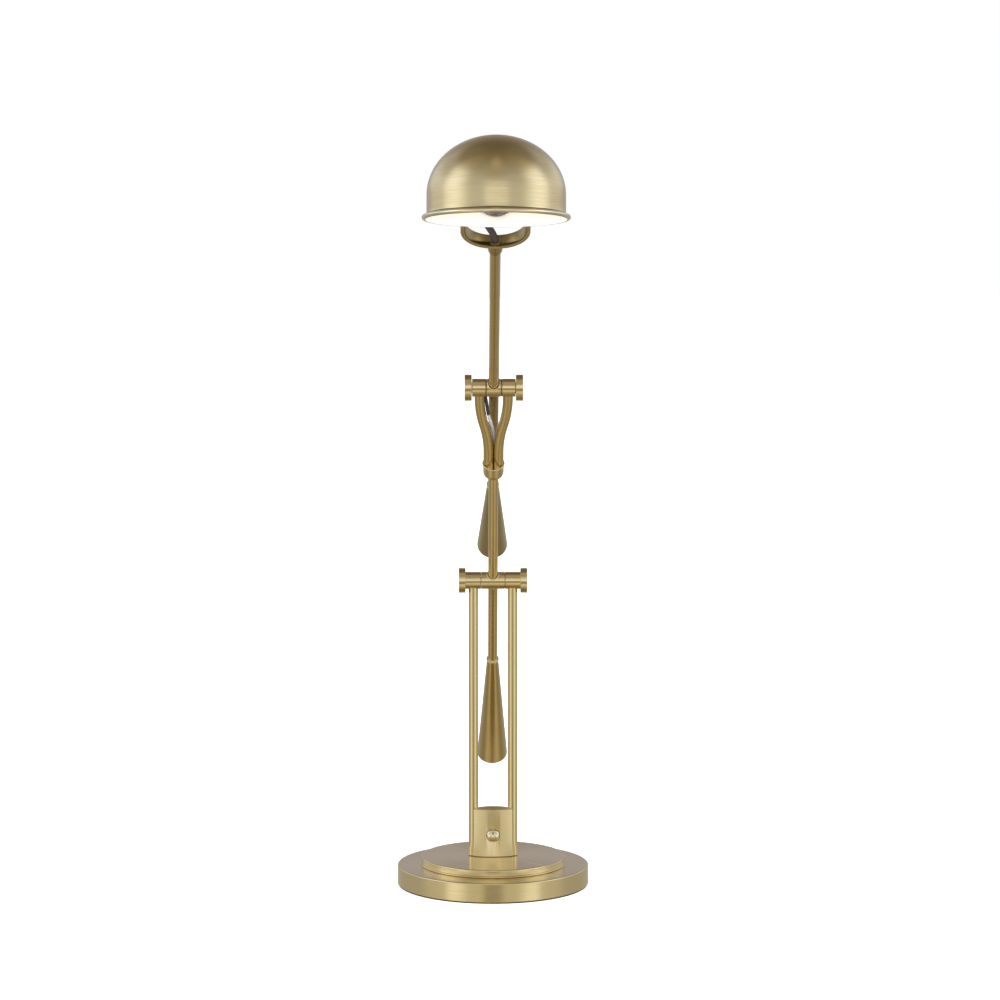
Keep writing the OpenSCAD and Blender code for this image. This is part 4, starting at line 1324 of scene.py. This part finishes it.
def bulb(glass, filament):
    """A clear globe with its glass stem, support wires and a coiled filament."""
    low, high = reach("bulb_glass", HEAD)
    radius = high.x
    centre_y = low.y + radius
    place = shifted(HEAD, y=centre_y) @ Matrix.Rotation(-TURN / 4, 4, "X")
    neck_r = 12.4
    neck_end = high.y - centre_y
    wall = 0.8
    inner_r = radius - wall
    join_r = neck_r + 2.5
    join = math.degrees(math.asin(join_r / radius))
    waist_z = math.sqrt(radius**2 - join_r**2) + 2.6
    globe = [(0, -radius), *quarter((0, 0), radius, -90, 90 - join, 40)[1:]]
    globe += [(neck_r + 0.9, waist_z, 2), (neck_r, neck_end - 1), (neck_r, neck_end)]
    globe += [(neck_r - wall, neck_end), (neck_r - wall, neck_end - 1)]
    globe += [(neck_r + 0.9 - wall, waist_z, 2)]
    globe += [*quarter((0, 0), inner_r, 90 - join, -90, 40)[:-1], (0, -inner_r)]
    turned("bulb_globe", globe, place, glass, "bulb_glass", sharp=60)
    stem = [(0, -3), (3.2, -2, 1), (2.6, 2, 1), (4, neck_end - 12, 2), (9, neck_end - 4, 1)]
    stem += [(0, neck_end - 4)]
    turned("bulb_stem", stem, place, glass, "bulb_glass", 32, sharp=40, extra=True)

    spread = 10
    coil_turns = 26
    coil_r = 0.45
    steps = coil_turns * 8
    lines = []
    for side in (-1, 1):
        lines.append(([(side * 1.6, 0, 4), (side * 4, 0, -3), (side * spread, 0, -5)], 0.3))
    coil = []
    for i in range(steps + 1):
        share = i / steps
        angle = TURN * coil_turns * share
        sag = -5 - 2.5 * math.sin(math.pi * share)
        x = spread * (2 * share - 1)
        coil.append((x, coil_r * math.cos(angle), sag + coil_r * math.sin(angle)))
    lines.append((coil, 0.14))
    for number, (line, r) in enumerate(lines):
        points = [place @ (Vector(p) * MM) for p in line]
        swept(f"filament_part_{number + 1}", points, r, filament, 6, "bulb_glass")


# ---- The whole lamp ----


def coat(node, material):
    obj = frame["nodes"][node]
    obj.data.materials.clear()
    obj.data.materials.append(material)


def finish_the_frame(steel, cast, black, lead, silver):
    """The CAD nodes that stay, with their finishes."""
    for node, material in (
        ("base_weight", cast),
        ("column_bolts", steel),
        ("upright_wire", lead),
        ("switch_body", black),
        ("lower_axle", steel),
        ("upper_axle", steel),
        ("lower_arm_wire", silver),
        ("upper_arm_wire", lead),
    ):
        coat(node, material)


def lamp_brasses(lower_joint, upper_joint):
    """The brass of each piece, brushed around the piece's own axis, by name."""
    # The shadow lines are painted shade at the block's foot and top, at both ends of the swivel socket and in the
    # groove above the shade's rim
    block_foot, block_top = (corner.z for corner in reach("column_block"))
    foot_shadow_line = (block_foot, 1.6, 0.9)
    block_shadow_lines = [foot_shadow_line, (block_top, 0.7, 0.4)]
    block = {"roughness": 0.31, "tone": 1.2, "spread": 0.0, "shadow_lines": block_shadow_lines}
    rod = {"roughness": 0.15, "tone": 0.95, "relief": 0.5, "shadow_lines": [foot_shadow_line]}
    rod_x = sum(corner.x for corner in reach("upright_left")) / 2
    socket_foot, socket_top = (corner.z for corner in reach("swivel_socket", UPPER_ARM))
    swivel_shadow_lines = [(socket_foot, 0.9, 0.8), (socket_top, 1.2, 0.8)]
    low, high = reach("shade", HEAD)
    dome_place = shifted(HEAD, y=(low.y + high.y) / 2, z=low.z)
    rim_shadow_line = (4.7, 0.9, 0.95)
    # A tone below 1 is painted shade on the tail, the two weights and the yoke, and the block's 1.2 is painted
    # light; the fork, swivel, rods and washers are darker too
    looks = {
        "base": (STAND, {"lines": 2.0, "roughness": 0.21}),
        "block": (STAND, block),
        "left_upright": (shifted(STAND, x=rod_x), rod),
        "right_upright": (shifted(STAND, x=-rod_x), rod),
        "lower_joint": (lower_joint @ ALONG_X, {"relief": 1.5}),
        "upper_joint": (upper_joint @ ALONG_X, {"relief": 1.5}),
        "washer": (lower_joint @ ALONG_X, {"tone": 0.4}),
        "lower_arm": (LOWER_ARM, {"relief": 0.8}),
        "upper_arm": (UPPER_ARM, {"relief": 0.8}),
        "tail": (UPPER_ARM, {"tone": 0.6, "relief": 0.8}),
        "fork": (LOWER_ARM, {"tone": 0.9, "relief": 0.8}),
        "lower_weight": (LOWER_ARM, {"tone": 0.85, "relief": 1.5}),
        "upper_weight": (UPPER_ARM, {"tone": 0.66, "relief": 1.5}),
        "yoke": (UPPER_ARM, {"tone": 0.42}),
        "swivel": (UPPER_ARM, {"tone": 0.7, "shadow_lines": swivel_shadow_lines}),
        "cup": (HEAD @ ALONG_Y, {}),
        "shade": (dome_place, {"lines": 0.9, "roughness": 0.22, "shadow_lines": [rim_shadow_line]}),
    }
    return {
        name: brushed_brass("brass_" + name, place, **look)
        for name, (place, look) in looks.items()
    }


def build_lamp():
    lower_joint = Matrix.Translation(joint_at("lower_arm_tilt"))
    upper_joint = Matrix.Translation(joint_at("upper_arm_tilt"))
    black = black_plastic()
    lead = black_lead()
    silver = silver_lead()
    polished = polished_brass()
    bright = polished_brass("bright_rim", "brushed_brass")
    painted = white_enamel("painted_steel", "steel")
    steel = metal("zinc_steel", "steel", (0.30, 0.30, 0.31), (0.62, 0.61, 0.60), 0.32)
    iron_light = (0.14, 0.13, 0.13)
    cast = metal("cast_iron", "cast_weight", grey(0.05), iron_light, 0.7, 400.0, 200)
    aluminium = metal("cap_aluminium", "lamp_metal", (0.55, 0.55, 0.56), grey(0.8), 0.25)
    brass = lamp_brasses(lower_joint, upper_joint)

    fork_lead(silver, black)
    shade_lead(lead)
    base(brass["base"], felt())
    column(brass["block"], brass["left_upright"], brass["right_upright"])
    switch(polished, brass["block"], black)
    for level, place, arm in (
        ("lower", lower_joint, LOWER_ARM), ("upper", upper_joint, UPPER_ARM)
    ):
        cross_joint(level, place, arm, brass[level + "_joint"], brass["washer"], polished)
    for node, place, name in (
        ("lower_arm_tube", LOWER_ARM, "lower_arm"),
        ("lower_tail_tube", LOWER_ARM, "lower_arm"),
        ("upper_arm_tube", UPPER_ARM, "upper_arm"),
        ("upper_tail_tube", UPPER_ARM, "tail"),
    ):
        arm_tube(node, place, brass[name])
    counterweight("lower", LOWER_ARM, brass["lower_weight"], polished)
    counterweight("upper", UPPER_ARM, brass["upper_weight"], polished)
    fork(brass["lower_arm"], brass["fork"], bright)
    swivel(brass["swivel"], steel)
    yoke(brass["yoke"], bright, brass["washer"], polished)
    shade(brass["shade"], bright, white_enamel())
    socket(brass["cup"], black, painted, aluminium)
    bulb(clear_glass(), filament_metal())
    finish_the_frame(steel, cast, black, lead, silver)
    dressed("cord_bushing", black, 0.3)
    dressed("lower_hub", brass["lower_joint"])
    dressed("upper_hub", brass["upper_joint"])


def corners(box):
    return [[float(value) for value in corner] for corner in box]


add_camera()
light_the_studio()
build_lamp()
